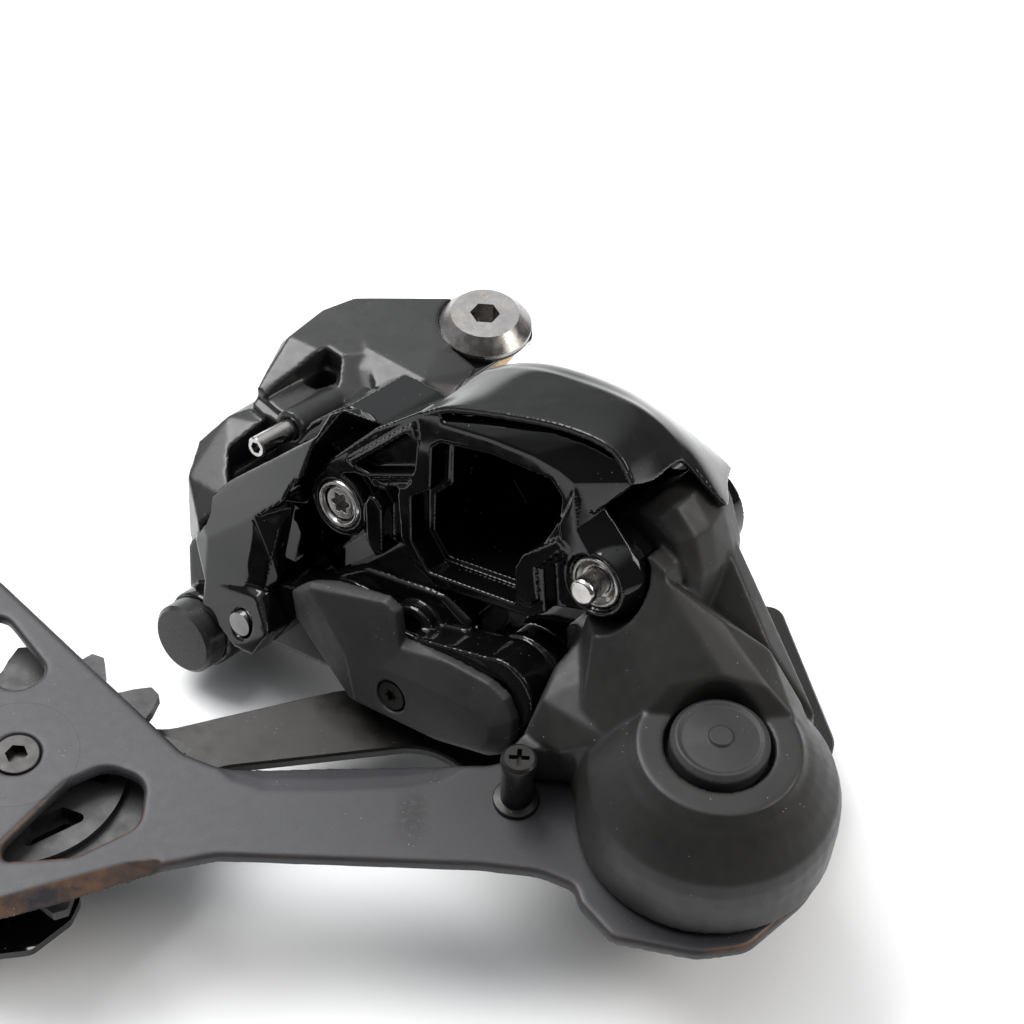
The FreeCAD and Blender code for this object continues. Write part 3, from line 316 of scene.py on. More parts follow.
def carry_over(node):
    """A CAD node that stays, with its finish and a fine rounded edge."""
    obj = NODES[node]
    obj.data.materials.clear()
    obj.data.materials.append(FINISHES[SLOT_OF[node]])
    bevel = obj.modifiers.new("edge", "BEVEL")
    bevel.width = 0.00012
    bevel.segments = 2
    bevel.limit_method = "ANGLE"
    bevel.angle_limit = math.radians(35)
    bevel.harden_normals = True


# ---------------------------------------------------------------- modelled pieces

def link_axes():
    """Unit vectors along the links, across them towards outboard, and along their pins."""
    azimuth, elevation, pitch = (math.radians(angle) for angle in (234.4, 14.2, 17.1))
    pin = Vector((math.cos(elevation) * math.cos(azimuth), math.cos(elevation) * math.sin(azimuth),
                  math.sin(elevation)))
    level = Vector((-math.sin(azimuth), math.cos(azimuth), 0))
    along = level * math.cos(pitch) + pin.cross(level) * math.sin(pitch)
    return along, pin.cross(along), pin


ALONG, OUT, PIN = link_axes()
# Front pin's axis at its boss's face, in the frame's millimetres.
LINK_ORIGIN = Vector((-23.1, -49.9, 8.0))

# Pins' places across the links, in the links' millimetres.
FRONT_PIN = (0.0, 0.0)
FAR_PIN = (54.4, 0.0)
INNER_FRONT_PIN = (-16.2, -23.7)
INNER_FAR_PIN = (38.2, -23.7)
SCREW_BOSS = (-20.6, 5.2)
FAR = FAR_PIN[0]

# Levels in millimetres for cuts that go right through a casting on one side.
ABOVE = 30.0
BELOW = -60.0

# Upright axes in the frame's millimetres.
HANGER_BOLT = (0.0, 0.0)
CAGE_PIVOT = (43.0, -99.7)

RING_CORNERS = 48


def at(u, v, w):
    """Place in metres of a point in the links' frame, in millimetres."""
    return (LINK_ORIGIN + ALONG * u + OUT * v + PIN * w) / 1000


def flat(x, y, z):
    """Place in metres of a point in the frame, in millimetres."""
    return Vector((x, y, z)) / 1000


def crossways(y, z, x):
    """As flat, for outlines that stand across the X axis."""
    return flat(x, y, z)


def loft(sections, place=at):
    """Solid through outlines with equal numbers of corners, each at its own level."""
    count = len(sections[0][1])
    points = [place(a, b, level) for level, outline in sections for a, b in outline]
    faces = [tuple(range(count)), tuple(range(len(points) - count, len(points)))]
    for start in range(0, len(points) - count, count):
        for i in range(count):
            j = (i + 1) % count
            faces.append((start + i, start + j, start + count + j, start + count + i))
    mesh = bpy.data.meshes.new("blank")
    mesh.from_pydata(points, [], faces)
    shape = bmesh.new()
    shape.from_mesh(mesh)
    bmesh.ops.recalc_face_normals(shape, faces=shape.faces)
    bmesh.ops.triangulate(shape, faces=[face for face in shape.faces if len(face.verts) > 4])
    shape.to_mesh(mesh)
    shape.free()
    return new_blank(mesh)


def slab(outline, low, high, place=at):
    """Flat solid of one outline between two levels."""
    return loft([(low, outline), (high, outline)], place)


def hull(points, place=at):
    """Convex solid round points, with its flats and ridges where they put them."""
    shape = bmesh.new()
    for point in points:
        shape.verts.new(place(*point))
    found = bmesh.ops.convex_hull(shape, input=shape.verts)
    loose = [item for item in found["geom_interior"] + found["geom_unused"]
             if isinstance(item, bmesh.types.BMVert)]
    bmesh.ops.delete(shape, geom=list(set(loose)), context="VERTS")
    bmesh.ops.recalc_face_normals(shape, faces=shape.faces)
    mesh = bpy.data.meshes.new("blank")
    shape.to_mesh(mesh)
    shape.free()
    return new_blank(mesh)


def ring(centre, radius):
    """Outline of a circle."""
    turns = [2 * math.pi * i / RING_CORNERS for i in range(RING_CORNERS)]
    return [(centre[0] + radius * math.cos(turn), centre[1] + radius * math.sin(turn)) for turn in turns]


def disc(centre, radii, place=at):
    """Turned solid on an axis across the place's plane, from (level, radius) pairs."""
    return loft([(level, ring(centre, radius)) for level, radius in radii], place)


def bore(centre, radius, low, high, place=at):
    """Round hole, as a step for carve."""
    return "cut", disc(centre, [(low, radius), (high, radius)], place)


def carve(name, node, base, steps, voxel, passes):
    """One casting: blanks added to and cut from a base in order, then every edge rounded."""
    for operation, blank in steps:
        step = base.modifiers.new("step", "BOOLEAN")
        step.operation = "UNION" if operation == "add" else "DIFFERENCE"
        step.solver = "MANIFOLD"
        step.object = blank
    even_out(base, voxel)
    smooth = base.modifiers.new("round", "SMOOTH")
    smooth.factor = 0.5
    smooth.iterations = passes
    applied(base)
    for _operation, blank in steps:
        bpy.data.objects.remove(blank)
    base.name = name
    finish_piece(base, node)


# ---------------------------------------------------------------- outer link

def shell_section(outside, thick):
    """Closed outline of the shell at one level: its outer line, then the inner line back."""
    inside = []
    for i, (u, v) in enumerate(outside):
        before = Vector(outside[max(i - 1, 0)])
        after = Vector(outside[min(i + 1, len(outside) - 1)])
        along = (after - before).normalized()
        inside.append((u + along.y * thick, v - along.x * thick))
    return outside + inside[::-1]


# Outer face of the shell: at each level along the pins, its line in the plane of the links.
SHELL = (
    (0.0, [(19.0, 22.0), (25.3, 24.9), (30.5, 25.9), (39.1, 26.9), (48.8, 27.5), (56.6, 26.7),
           (60.6, 24.6), (62.9, 20.4)]),
    (-6.0, [(20.6, 22.9), (26.5, 25.4), (32.3, 26.8), (40.0, 27.5), (48.8, 27.7), (56.3, 26.5),
            (60.4, 23.6), (62.8, 18.6)]),
    (-13.5, [(21.6, 24.4), (28.0, 26.6), (34.0, 27.9), (41.0, 27.9), (48.8, 27.4), (55.2, 26.0),
             (59.6, 22.8), (62.7, 18.7)]),
    (-16.0, [(22.4, 24.8), (28.0, 26.7), (34.6, 27.7), (42.0, 27.5), (49.0, 26.7), (55.4, 24.9),
             (60.2, 21.6), (63.6, 16.8)]),
    (-20.0, [(23.4, 24.4), (29.0, 26.1), (35.0, 26.8), (43.0, 26.3), (50.0, 24.8), (57.0, 21.7),
             (62.6, 16.8), (67.7, 9.2)]),
    (-27.0, [(24.4, 20.4), (30.0, 21.8), (36.0, 22.2), (43.0, 21.6), (50.0, 19.8), (56.0, 16.8),
             (60.4, 13.6), (63.8, 9.4)]),
    (-33.5, [(26.0, 14.4), (31.0, 15.4), (36.0, 15.6), (43.0, 15.0), (50.0, 13.6), (54.6, 12.0),
             (58.0, 10.2), (60.6, 8.4)]),
)


def eased(rows, steps):
    """Rows of numbers with steps - 1 more between each two, on a smooth curve through them."""
    out = []
    last = len(rows) - 1
    for i in range(last):
        near = [rows[max(i - 1, 0)], rows[i], rows[i + 1], rows[min(i + 2, last)]]
        for step in range(steps):
            t = step / steps
            weights = (-0.5 * t + t * t - 0.5 * t ** 3, 1 - 2.5 * t * t + 1.5 * t ** 3,
                       0.5 * t + 2 * t * t - 1.5 * t ** 3, -0.5 * t * t + 0.5 * t ** 3)
            out.append([sum(w * row[k] for w, row in zip(weights, near)) for k in range(len(rows[0]))])
    out.append(list(rows[last]))
    return out


SHELL_THICKNESS = 1.3
SHELL_STEPS = 5     # to each stretch between two given points or levels
RIB_WIDTH = 2.4


def shell():
    """Doubly curved cover of even thickness over the link's outboard side, and the ribs that hold it."""
    rows = eased([[level] + [number for point in outside for number in point] for level, outside in SHELL],
                 SHELL_STEPS)
    sections = []
    for row in rows:
        points = eased([row[i:i + 2] for i in range(1, len(row), 2)], SHELL_STEPS)
        sections.append((row[0], shell_section([tuple(point) for point in points], SHELL_THICKNESS)))
    carve("outer_shell", "outer_fairing", loft(sections), [], voxel=0.35, passes=4)
    ribs = []
    for left in (30.0, 37.0, 44.0):
        right = left + RIB_WIDTH
        ribs.append(slab([(left, 20.5), (right, 20.5), (right, 26.8), (left, 26.8)], -17.0, -11.5))
    carve("shell_posts", "fairing_ribs", ribs[0], [("add", rib) for rib in ribs[1:]], voxel=0.35, passes=3)


# Levels along the pins, from the front boss's face: the gap where bracket and knuckle hold the pins
# lies between the link's front part and its rear part.
FRONT_BACK = -9.0
REAR_FACE = -26.7
REAR_BACK = -33.0
SEAT_RADIUS = 4.74      # of the ring and the bush round the outer pins
PIN_BORE = 2.4


def link_front():
    """Rim of the pocket and the facet above it: the blank that the rest is added to."""
    rim = [(13.9, 5.8), (13.9, -3.2), (16.5, -7.5), (21.0, -10.4), (41.0, -10.5), (45.6, -7.8), (46.0, 0.0),
           (50.0, 4.2), (52.2, 12.0), (51.8, 16.0)]
    top_front = [(51.4, 17.6), (48.4, 19.2), (43.2, 20.6), (34.3, 21.6), (24.6, 21.9), (21.0, 21.9)]
    top_back = [(52.6, 18.4), (52.0, 22.3), (47.4, 22.2), (40.4, 22.6), (32.4, 22.8), (23.0, 21.4)]
    return loft([(0.0, rim + top_front), (-2.6, rim + top_back), (-6.0, rim + top_back)])


def link_web():
    """Mass round the pocket, web to the front pin with its ridge and corner pocket, and upper panel."""
    panel = hull([(23.6, 21.8, 0.0), (34.3, 21.6, 0.0), (43.2, 20.6, 0.0), (48.4, 19.2, 0.0),
                  (51.4, 17.6, 0.0), (52.2, 14.2, -0.6), (54.0, 12.2, -1.6), (61.8, 19.4, -2.4),
                  (57.6, 22.6, -2.6), (52.0, 24.0, -2.6), (46.0, 24.5, -2.6), (39.0, 24.4, -2.6),
                  (31.0, 23.6, -2.4), (23.6, 22.2, -1.6), (23.6, 21.0, -5.4), (31.0, 23.0, -5.4),
                  (46.0, 23.6, -5.4), (57.0, 22.0, -5.4), (61.6, 19.0, -5.4), (54.0, 11.8, -5.4)])
    web = slab([(-5.6, 0.0), (-4.6, 4.6), (-1.1, 8.4), (9.9, 16.9), (20.1, 22.4), (24.0, 22.6), (22.0, 6.0),
                (16.4, -6.0), (12.0, -6.0), (3.0, -6.2)], FRONT_BACK, -2.8)
    ridge = slab([(-4.4, 4.8), (-1.1, 8.6), (9.9, 17.1), (20.1, 22.7), (25.0, 23.4), (24.4, 21.0),
                  (22.4, 17.6), (21.4, 8.4), (17.0, 6.4), (13.6, 7.0), (8.6, 5.6), (7.4, 7.2), (4.4, 7.2),
                  (0.0, 6.0)], -4.0, 0.0)
    corner = [(4.6, 9.0), (7.8, 8.2), (18.0, 10.8), (19.2, 17.0), (17.4, 17.9)]
    lip = slab([(3.4, 9.8), (4.4, 8.9), (17.3, 18.3), (19.6, 17.4), (19.2, 20.6)], -1.4, 0.6)
    ledge = [(8.2, 7.2), (17.6, 9.6), (16.2, 7.8), (9.6, 6.0)]
    edge = [(14.2, -4.0), (18.6, -10.4), (42.0, -10.4), (49.4, -9.0), (45.0, 0.5)]
    mass = loft([
        (-5.5, edge + [(49.2, 10.0), (49.4, 16.0), (47.4, 19.8), (38.0, 21.5), (26.0, 21.5), (15.0, 17.0)]),
        (-10.0, edge + [(49.2, 10.0), (49.4, 17.0), (47.4, 26.2), (38.0, 26.4), (26.0, 24.4),
                        (15.0, 17.0)]), (-19.0, edge + [(49.2, 10.0), (49.4, 17.0), (47.4, 24.2),
                                                        (38.0, 25.4), (26.0, 24.0), (15.0, 17.0)]),
        (REAR_BACK, edge + [(48.0, 6.5), (49.0, 9.6), (47.0, 12.4), (38.0, 14.0), (28.0, 13.6),
                            (18.0, 10.0)])])
    return [("add", mass), ("add", web), ("add", ridge), ("cut", slab(corner, -2.6, 3.0)), ("add", lip),
            ("cut", slab(ledge, -0.5, 3.0)), ("add", panel)]


def link_bosses():
    """Bosses of both pins and the arm that reaches the far one."""
    far_web = slab([(40.0, -9.4), (54.0, -7.6), (54.0, 7.6), (48.0, 9.5), (42.0, 0.0)], -8.8, -3.2)
    nook = slab([(44.6, -8.4), (44.5, -0.4), (49.4, 3.8), (52.0, 0.0), (50.0, -9.0)], -3.4, 3.0)
    near_boss = disc(FRONT_PIN, [(FRONT_BACK, 6.3), (0.0, 6.3)])
    arm = loft([(0.4, [(48.9, 4.6), (48.3, 9.5), (50.4, 13.5), (51.8, 16.4), (52.0, 9.4), (53.8, 6.6),
                       (55.4, 3.0), (50.0, 0.6)]),
                (-4.2, [(47.6, 4.6), (47.6, 9.5), (50.4, 14.5), (52.0, 15.5), (55.0, 12.0), (60.0, 5.5),
                        (58.0, 1.0), (47.0, -1.0)])])
    far_boss = disc(FAR_PIN, [(0.0, 5.9), (-3.6, 7.8), (-8.8, 7.8)])
    return [("add", far_web), ("cut", nook), ("add", near_boss), ("add", arm), ("add", far_boss)]


def link_pocket():
    """Battery pocket, the tab and bridge at its far corner, and the hook near the front pin."""
    pocket_mouth = [(24.2, 18.0), (22.4, 16.6), (21.4, 8.5), (17.0, 6.0), (16.4, -2.6), (19.7, -7.9),
                    (38.2, -8.5), (38.5, -1.2), (40.6, 1.6), (44.4, 4.6), (46.3, 7.2), (48.1, 10.1),
                    (48.9, 14.2), (46.7, 17.0), (35.0, 18.5)]
    pocket = [(24.4, 17.2), (23.2, 16.0), (22.4, 7.6), (18.4, 4.6), (17.6, -2.6), (20.4, -6.9),
              (37.0, -7.4), (38.8, -4.0), (41.6, 0.6), (45.4, 5.6), (46.6, 8.0), (47.6, 11.0),
              (47.9, 14.2), (46.0, 16.2), (35.0, 17.6)]
    tab_face = loft([(0.6, [(39.0, -7.0), (39.0, -1.0), (40.8, 1.2), (43.2, 1.4), (43.6, -5.8),
                            (41.4, -7.8)]),
                     (-6.0, [(38.4, -8.6), (38.4, -1.0), (40.6, 1.8), (44.0, 2.2), (44.4, -6.4),
                             (42.0, -9.0)])])
    bridge = slab([(39.8, 0.4), (40.9, 2.0), (48.2, 6.8), (49.6, 5.4), (43.6, 0.2)], -4.0, 0.6)
    hook = slab([(6.6, 2.2), (7.6, 3.9), (9.0, 3.9), (10.4, 1.9), (9.7, -7.2), (8.0, -8.1), (6.2, -5.2)],
                -6.0, 0.4)
    return [("cut", slab(pocket_mouth, -5.0, 3.0)), ("cut", slab(pocket, -28.0, -4.0)), ("add", tab_face),
            ("add", bridge), ("add", hook)]


def link_fork():
    """Gaps that bracket and knuckle turn in, with the rear bosses behind them."""
    far_slot = slab([(44.8, -16.0), (44.6, -3.0), (49.6, 9.6), (51.4, 12.0), (60.0, 12.0), (80.0, 12.0),
                     (80.0, -16.0)], REAR_FACE, FRONT_BACK)
    near_slot = slab([(-12.0, -14.0), (13.2, -14.0), (13.2, 26.0), (-12.0, 26.0)], REAR_FACE, -9.2)
    rear_near = loft([(-26.9, [(-6.2, 1.0), (2.2, 9.0), (15.6, 16.0), (16.0, -4.0), (8.0, -4.0), (3.0, -6.4),
                               (-5.5, -4.5)]),
                      (-33.0, [(-6.2, 1.0), (2.2, 7.6), (15.6, 12.0), (20.0, -4.0), (8.0, -4.0), (3.0, -6.4),
                               (-5.5, -4.5)])])
    rear_far = disc(FAR_PIN, [(-27.0, 9.0), (REAR_BACK, 9.0)])
    rear_web = slab([(40.0, -9.4), (55.0, -9.0), (56.0, 8.0), (48.0, 9.5), (42.0, 0.0)], REAR_BACK, -27.0)
    return [("cut", far_slot), ("cut", near_slot), ("add", rear_near), ("add", rear_far), ("add", rear_web)]


def link_body():
    """Glossy casting of the outer link."""
    pins = (FRONT_PIN, FAR_PIN)
    seats = [bore(pin, SEAT_RADIUS, -3.0, 3.0) for pin in pins] + [bore(FAR_PIN, 5.3, -0.9, 3.0)]
    bores = [bore(pin, PIN_BORE, -40.0, 0.0) for pin in pins]
    steps = link_web() + link_bosses() + link_pocket() + link_fork() + seats + bores
    carve("link_casting", "outer_link", link_front(), steps, voxel=0.26, passes=7)


# ---------------------------------------------------------------- knuckle

# Levels of the room that the outer link's rear part and front part leave for the yoke.
YOKE_FRONT = -9.2
YOKE_BACK = -26.4


def knuckle_masses():
    """Neck with its ridge, yoke and collar round the far pins, and the tab beside the stop pin."""
    ridge_mass = hull([
        (23.3, -69.8, 28.0), (32.0, -77.3, 27.5), (35.4, -79.0, 26.0), (42.2, -81.8, 23.0),
        (51.1, -83.0, 17.0), (57.0, -87.5, 9.5), (33.0, -80.5, 20.0), (30.3, -80.5, 12.5),
        (24.0, -78.3, 6.0), (18.0, -76.3, -1.0), (31.6, -94.4, 13.6), (35.0, -91.6, 17.2),
        (43.0, -90.4, 18.8), (50.6, -90.6, 17.2), (55.0, -93.2, 13.6), (36.0, -99.0, 8.0),
        (50.0, -99.0, 8.0), (26.0, -95.0, 8.0), (60.0, -92.0, 5.0), (20.5, -96.0, 2.0),
        (21.6, -100.0, -8.9), (16.5, -78.0, -8.0), (60.0, -88.0, -8.9), (45.0, -80.0, -8.9),
        (22.0, -66.0, 20.0), (30.0, -68.0, 18.0), (40.0, -75.0, 16.0), (50.0, -80.0, 10.0)], flat)
    side_mass = hull([
        (33.5, -67.5, 20.5), (39.5, -73.0, 19.0), (46.3, -77.0, 16.0), (51.5, -80.0, 14.0),
        (39.0, -60.5, 30.0), (44.5, -63.5, 23.5), (50.2, -70.5, 14.0), (55.8, -77.9, 8.0),
        (60.5, -85.5, 3.0), (36.0, -58.0, 6.0), (46.0, -64.0, 0.0), (56.0, -76.0, -6.0),
        (61.5, -86.0, -8.9), (30.0, -70.0, -4.0), (40.0, -95.0, -8.9)], flat)
    yoke = loft([
        (-9.3, [(46.4, -12.6), (46.4, -3.0), (49.6, 4.8), (53.0, 7.6), (57.0, 10.0), (61.2, 9.4),
                (64.8, 5.6), (66.4, 0.0), (66.0, -8.0), (62.0, -18.0), (50.0, -26.0), (36.0, -26.5)]),
        (-12.0, [(46.2, -12.6), (46.0, -2.8), (49.4, 6.0), (54.2, 8.4), (59.2, 12.0), (63.0, 11.4),
                 (66.6, 6.8), (68.0, 0.2), (67.4, -8.0), (63.4, -19.0), (50.0, -27.2), (34.8, -27.4)]),
        (-16.0, [(46.0, -12.6), (45.8, -2.6), (49.2, 6.4), (54.6, 8.8), (60.2, 13.0), (63.6, 12.0),
                 (67.2, 7.0), (68.6, 0.0), (68.0, -8.0), (64.0, -20.0), (50.0, -28.0), (34.0, -28.0)]),
        (-21.0, [(46.0, -12.6), (45.8, -2.6), (49.2, 6.4), (54.8, 8.8), (61.0, 14.4), (63.4, 13.0),
                 (66.4, 8.0), (68.6, 0.0), (68.0, -8.0), (64.0, -20.0), (50.0, -28.0), (34.0, -28.0)]),
        (-26.4, [(46.0, -12.6), (45.8, -2.6), (49.2, 6.4), (54.8, 8.8), (60.6, 13.4), (62.4, 11.8),
                 (65.0, 7.0), (66.6, 0.0), (66.0, -8.0), (62.0, -20.0), (50.0, -27.0), (36.0, -27.0)])])
    sleeve = slab([(31.0, -21.0), (33.5, -17.2), (38.2, -15.8), (46.0, -15.0), (48.0, -24.0), (40.0, -31.4),
                   (34.0, -30.4), (31.0, -26.4)], -20.0, -9.6)
    tab = slab([(8.5, -94.1), (24.0, -94.1), (24.0, -80.0), (10.0, -84.0)], -8.5, 0.5, flat)
    flank = hull([(14.5, -88.0, 6.0), (16.5, -82.0, 8.0), (26.0, -84.0, 12.0), (26.0, -96.0, 7.0),
                  (18.0, -95.5, 2.0), (12.0, -91.0, 0.5), (12.0, -91.0, -8.0), (24.0, -96.0, -8.0),
                  (24.0, -80.0, -8.0), (14.0, -84.0, -6.0), (22.0, -76.0, 12.0)], flat)
    collar = slab([(44.8, -21.4), (52.6, -16.1), (60.7, -12.1), (63.4, -8.8), (64.9, -5.5), (65.7, 0.4),
                   (65.0, 3.2), (61.4, 5.6), (58.4, 3.0), (48.0, -10.0), (45.0, -13.6)], -10.0, -4.9)
    return [("add", mass) for mass in (ridge_mass, side_mass, yoke, sleeve, tab, flank, collar)]


def knuckle_rooms():
    """What the outer link and the inner arm sweep as they turn round their far pins."""
    boss_room = disc(FAR_PIN, [(YOKE_FRONT, 8.5), (ABOVE, 8.5)])
    turn = math.radians(34)
    open_side = slab([(FAR, 0.0), (FAR + 40 * math.cos(turn), 40 * math.sin(turn)), (FAR + 20.0, 60.0),
                      (0.0, 60.0), (0.0, -13.2), (45.0, -13.2), (50.0, -11.0)], YOKE_FRONT, ABOVE)
    back_room = disc(FAR_PIN, [(BELOW, 12.0), (YOKE_BACK, 12.0)])
    back_side = slab([(FAR + 12.0, 0.0), (FAR + 20.0, 60.0), (0.0, 60.0), (0.0, -13.0), (FAR, -12.0)],
                     BELOW, YOKE_BACK)
    turned_room = slab([(46.0, -12.8), (45.8, -2.6), (49.2, 6.2), (54.4, 8.8), (60.6, 15.0), (61.0, 60.0),
                        (-20.0, 60.0), (-20.0, -14.6), (30.0, -14.6), (40.0, -14.6)], YOKE_BACK, YOKE_FRONT)
    arm_room = disc(INNER_FAR_PIN, [(YOKE_FRONT, 9.0), (ABOVE, 9.0)])
    arm_side = slab([(38.2, -14.6), (-30.0, -12.0), (-30.0, -38.0), (38.2, -34.7)], YOKE_FRONT, ABOVE)
    rooms = (turned_room, boss_room, open_side, back_room, back_side, arm_room, arm_side)
    return [("cut", room) for room in rooms]


def knuckle():
    """Dome round the cage pivot with all that stands on it."""
    dome = disc(CAGE_PIVOT, [(-9.0, 21.7), (-1.5, 21.7), (1.5, 21.4), (4.0, 20.6), (7.6, 18.0), (10.2, 15.8),
                         (11.6, 14.4), (13.2, 13.3)], flat)
    recesses = [("cut", disc(CAGE_PIVOT, [(10.0, 8.9), (40.0, 9.3)], flat)),
                bore(CAGE_PIVOT, 17.5, -20.0, 6.0, flat), bore(CAGE_PIVOT, 5.1, -20.0, 40.0, flat)]
    bores = [bore(FAR_PIN, 2.5, -40.0, 10.0), bore(INNER_FAR_PIN, 2.4, -40.0, 10.0)]
    steps = knuckle_masses() + knuckle_rooms() + recesses + bores
    carve("knuckle_casting", "p_knuckle", dome, steps, voxel=0.42, passes=5)


# ---------------------------------------------------------------- bracket

def bracket_plates():
    """Web and keel below the bolt, both facets of the front plate, and the wall behind the link."""
    web = slab([(-9.0, -2.0), (9.2, -2.0), (8.0, -10.0), (-1.0, -31.0), (-6.0, -33.0), (-26.0, -23.0),
                (-17.0, -10.0)], 0.4, 4.6, flat)
    keel = slab([(-18.0, -13.0), (2.0, -13.0), (-2.5, -31.0), (-8.0, -32.6), (-24.0, -24.0)],
                -11.6, 0.4, flat)
    upper = hull([(-14.4, -3.6, 6.6), (-27.2, -11.5, 6.6), (-32.6, -8.4, 3.1), (-25.8, -1.7, 1.3),
                  (-13.9, 5.8, 1.1), (-2.8, 12.9, 0.8), (-3.7, 8.3, 3.1), (-4.6, 3.5, 6.0),
                  (-32.4, -13.6, 4.6), (-10.0, 6.5, -9.3), (-22.0, -1.5, -9.3), (-32.0, -12.0, -6.0),
                  (-6.0, 11.0, -7.0), (-28.0, -16.0, -9.3), (-12.0, -10.0, -9.3), (-7.0, 4.0, -9.3)])
    lower = hull([(-14.4, -3.6, 6.6), (-27.2, -11.5, 6.6), (-28.1, -20.0, 7.7), (-17.2, -17.5, 8.4),
                  (-10.3, -5.0, 5.6), (-11.0, -10.5, 7.2), (-12.4, -17.0, 8.0), (-32.2, -13.4, 5.0),
                  (-31.0, -20.0, 5.0), (-8.6, -1.0, 2.0), (-14.0, -14.0, -9.4), (-12.0, -3.0, -9.4),
                  (-16.0, -29.0, -9.4), (-30.0, -22.0, -9.4), (-31.0, -13.0, -9.4), (-10.6, -16.0, 5.9)])
    rear = slab([(-28.0, -10.0), (-14.0, 8.6), (-8.0, 12.4), (-4.4, 14.2), (3.0, 12.6), (9.0, 8.4),
                 (8.8, -3.0), (-2.0, -8.0), (-9.0, -16.0), (-9.4, -26.0), (-14.0, -30.6), (-24.0, -29.4)],
                -26.3, -9.8)
    return [("add", plate) for plate in (web, keel, upper, lower, rear)]


def bracket_lugs():
    """Room of the outer link's front end, the lugs of both front pins, and the room of the inner arm."""
    top_lug = hull([(-2.8, 12.9, 0.8), (-1.1, 16.8, -1.1), (1.7, 18.2, -1.4), (2.6, 12.4, -9.8),
                    (-4.0, 9.0, -9.8), (-1.8, 14.6, -9.8), (-6.0, 9.6, -2.0), (-4.6, 9.6, 2.0)])
    lug = hull([(-28.1, -20.0, 7.7), (-17.2, -17.5, 8.4), (-13.0, -18.0, 9.7), (-9.0, -23.4, 12.2),
                (-13.6, -29.2, 12.4), (-18.0, -28.6, 12.4), (-27.4, -24.4, 10.0), (-9.0, -24.0, 5.9),
                (-15.0, -30.6, 5.9), (-27.0, -25.6, 5.9), (-29.6, -21.0, 5.9), (-12.6, -17.0, 5.9)])
    link_room = disc(FRONT_PIN, [(-9.4, 7.4), (ABOVE, 7.4)])
    open_side = slab([(0.0, 0.0), (-2.4, 8.9), (3.6, 13.0), (30.0, 40.0), (60.0, 40.0), (60.0, -40.0),
                      (-6.4, -40.0), (-6.4, -7.0)], -9.4, 3.0)
    boss_gap = disc(INNER_FRONT_PIN, [(-9.7, 8.0), (5.9, 8.0)])
    gap_side = slab([(-16.2, -15.6), (30.0, -15.6), (30.0, -40.0), (-16.2, -32.0)], -9.7, 5.9)
    return [("cut", link_room), ("cut", open_side), ("add", top_lug), ("add", lug), ("cut", boss_gap),
            ("cut", gap_side)]


def bracket_arm():
    """Glossy arm: ring at the bolt, web, top lug of the front pin and the long faceted front plate."""
    base = disc(HANGER_BOLT, [(0.0, 9.4), (4.6, 9.4)], flat)
    rear_room = slab([(-8.2, 1.6), (1.8, 11.0), (14.0, 21.0), (50.0, 21.0), (50.0, -30.0), (0.0, -9.6),
                      (-8.0, -6.0)], BELOW, -26.3)
    bores = [bore(HANGER_BOLT, 6.45, -5.0, ABOVE, flat), bore(FRONT_PIN, 2.45, -40.0, -5.0),
             bore(INNER_FRONT_PIN, 2.4, -40.0, 20.0), bore(INNER_FRONT_PIN, 2.9, 11.2, 20.0)]
    steps = bracket_plates() + bracket_lugs() + [("cut", rear_room)] + bores
    carve("bracket_arm", "bracket_lug", base, steps, voxel=0.36, passes=6)


def housing_masses():
    """Shoulder and neck beside the bolt, the low block under them, and the drive's housing."""
    shoulder = hull([(-23.0, -6.0, 7.0), (-10.0, -6.0, 7.0), (-21.4, -9.9, 7.3), (-9.9, -17.2, 7.3),
                     (-28.4, -22.0, 0.6), (-19.0, -25.0, 0.0), (-10.8, -18.8, 0.0), (-10.6, -18.4, 4.6),
                     (-28.0, -20.0, -4.0), (-12.0, -18.0, -4.0), (-26.4, -13.0, 5.6)], flat)
    neck = hull([(-8.0, -6.0, 7.0), (-21.4, -9.9, 7.2), (-9.9, -17.2, 7.2), (-4.0, -16.0, 5.2),
                 (-1.0, -11.0, 5.2), (-8.0, -6.0, 4.0), (-20.0, -10.0, 4.0), (-18.4, -25.0, 4.4),
                 (-10.8, -21.0, 4.7), (-5.0, -19.0, 4.4), (-18.0, -24.6, 3.4), (-5.0, -18.6, 3.4),
                 (-1.0, -10.0, 4.0)], flat)
    deep = slab([(-19.0, 1.0), (-31.5, -0.5), (-38.0, -9.0), (-42.5, -20.0), (-36.0, -27.0), (-29.0, -30.0),
                 (-19.0, -14.0)], -21.0, 1.0, flat)
    housing = hull([(-42.0, -12.5, -5.0), (-40.5, -18.0, -1.0), (-47.0, -22.0, -1.0), (-52.0, -26.0, -4.0),
                    (-53.0, -34.0, -5.0), (-50.0, -43.0, -8.0), (-44.0, -41.0, -3.0), (-34.0, -32.0, -1.5),
                    (-33.0, -26.0, 0.5), (-42.0, -12.5, -21.0), (-53.0, -27.0, -21.0),
                    (-53.6, -35.0, -21.0), (-50.0, -43.0, -21.0), (-41.0, -38.0, -21.0),
                    (-29.0, -30.0, -21.0), (-34.0, -18.0, -21.0)], flat)
    return [("add", mass) for mass in (shoulder, neck, deep, housing)]


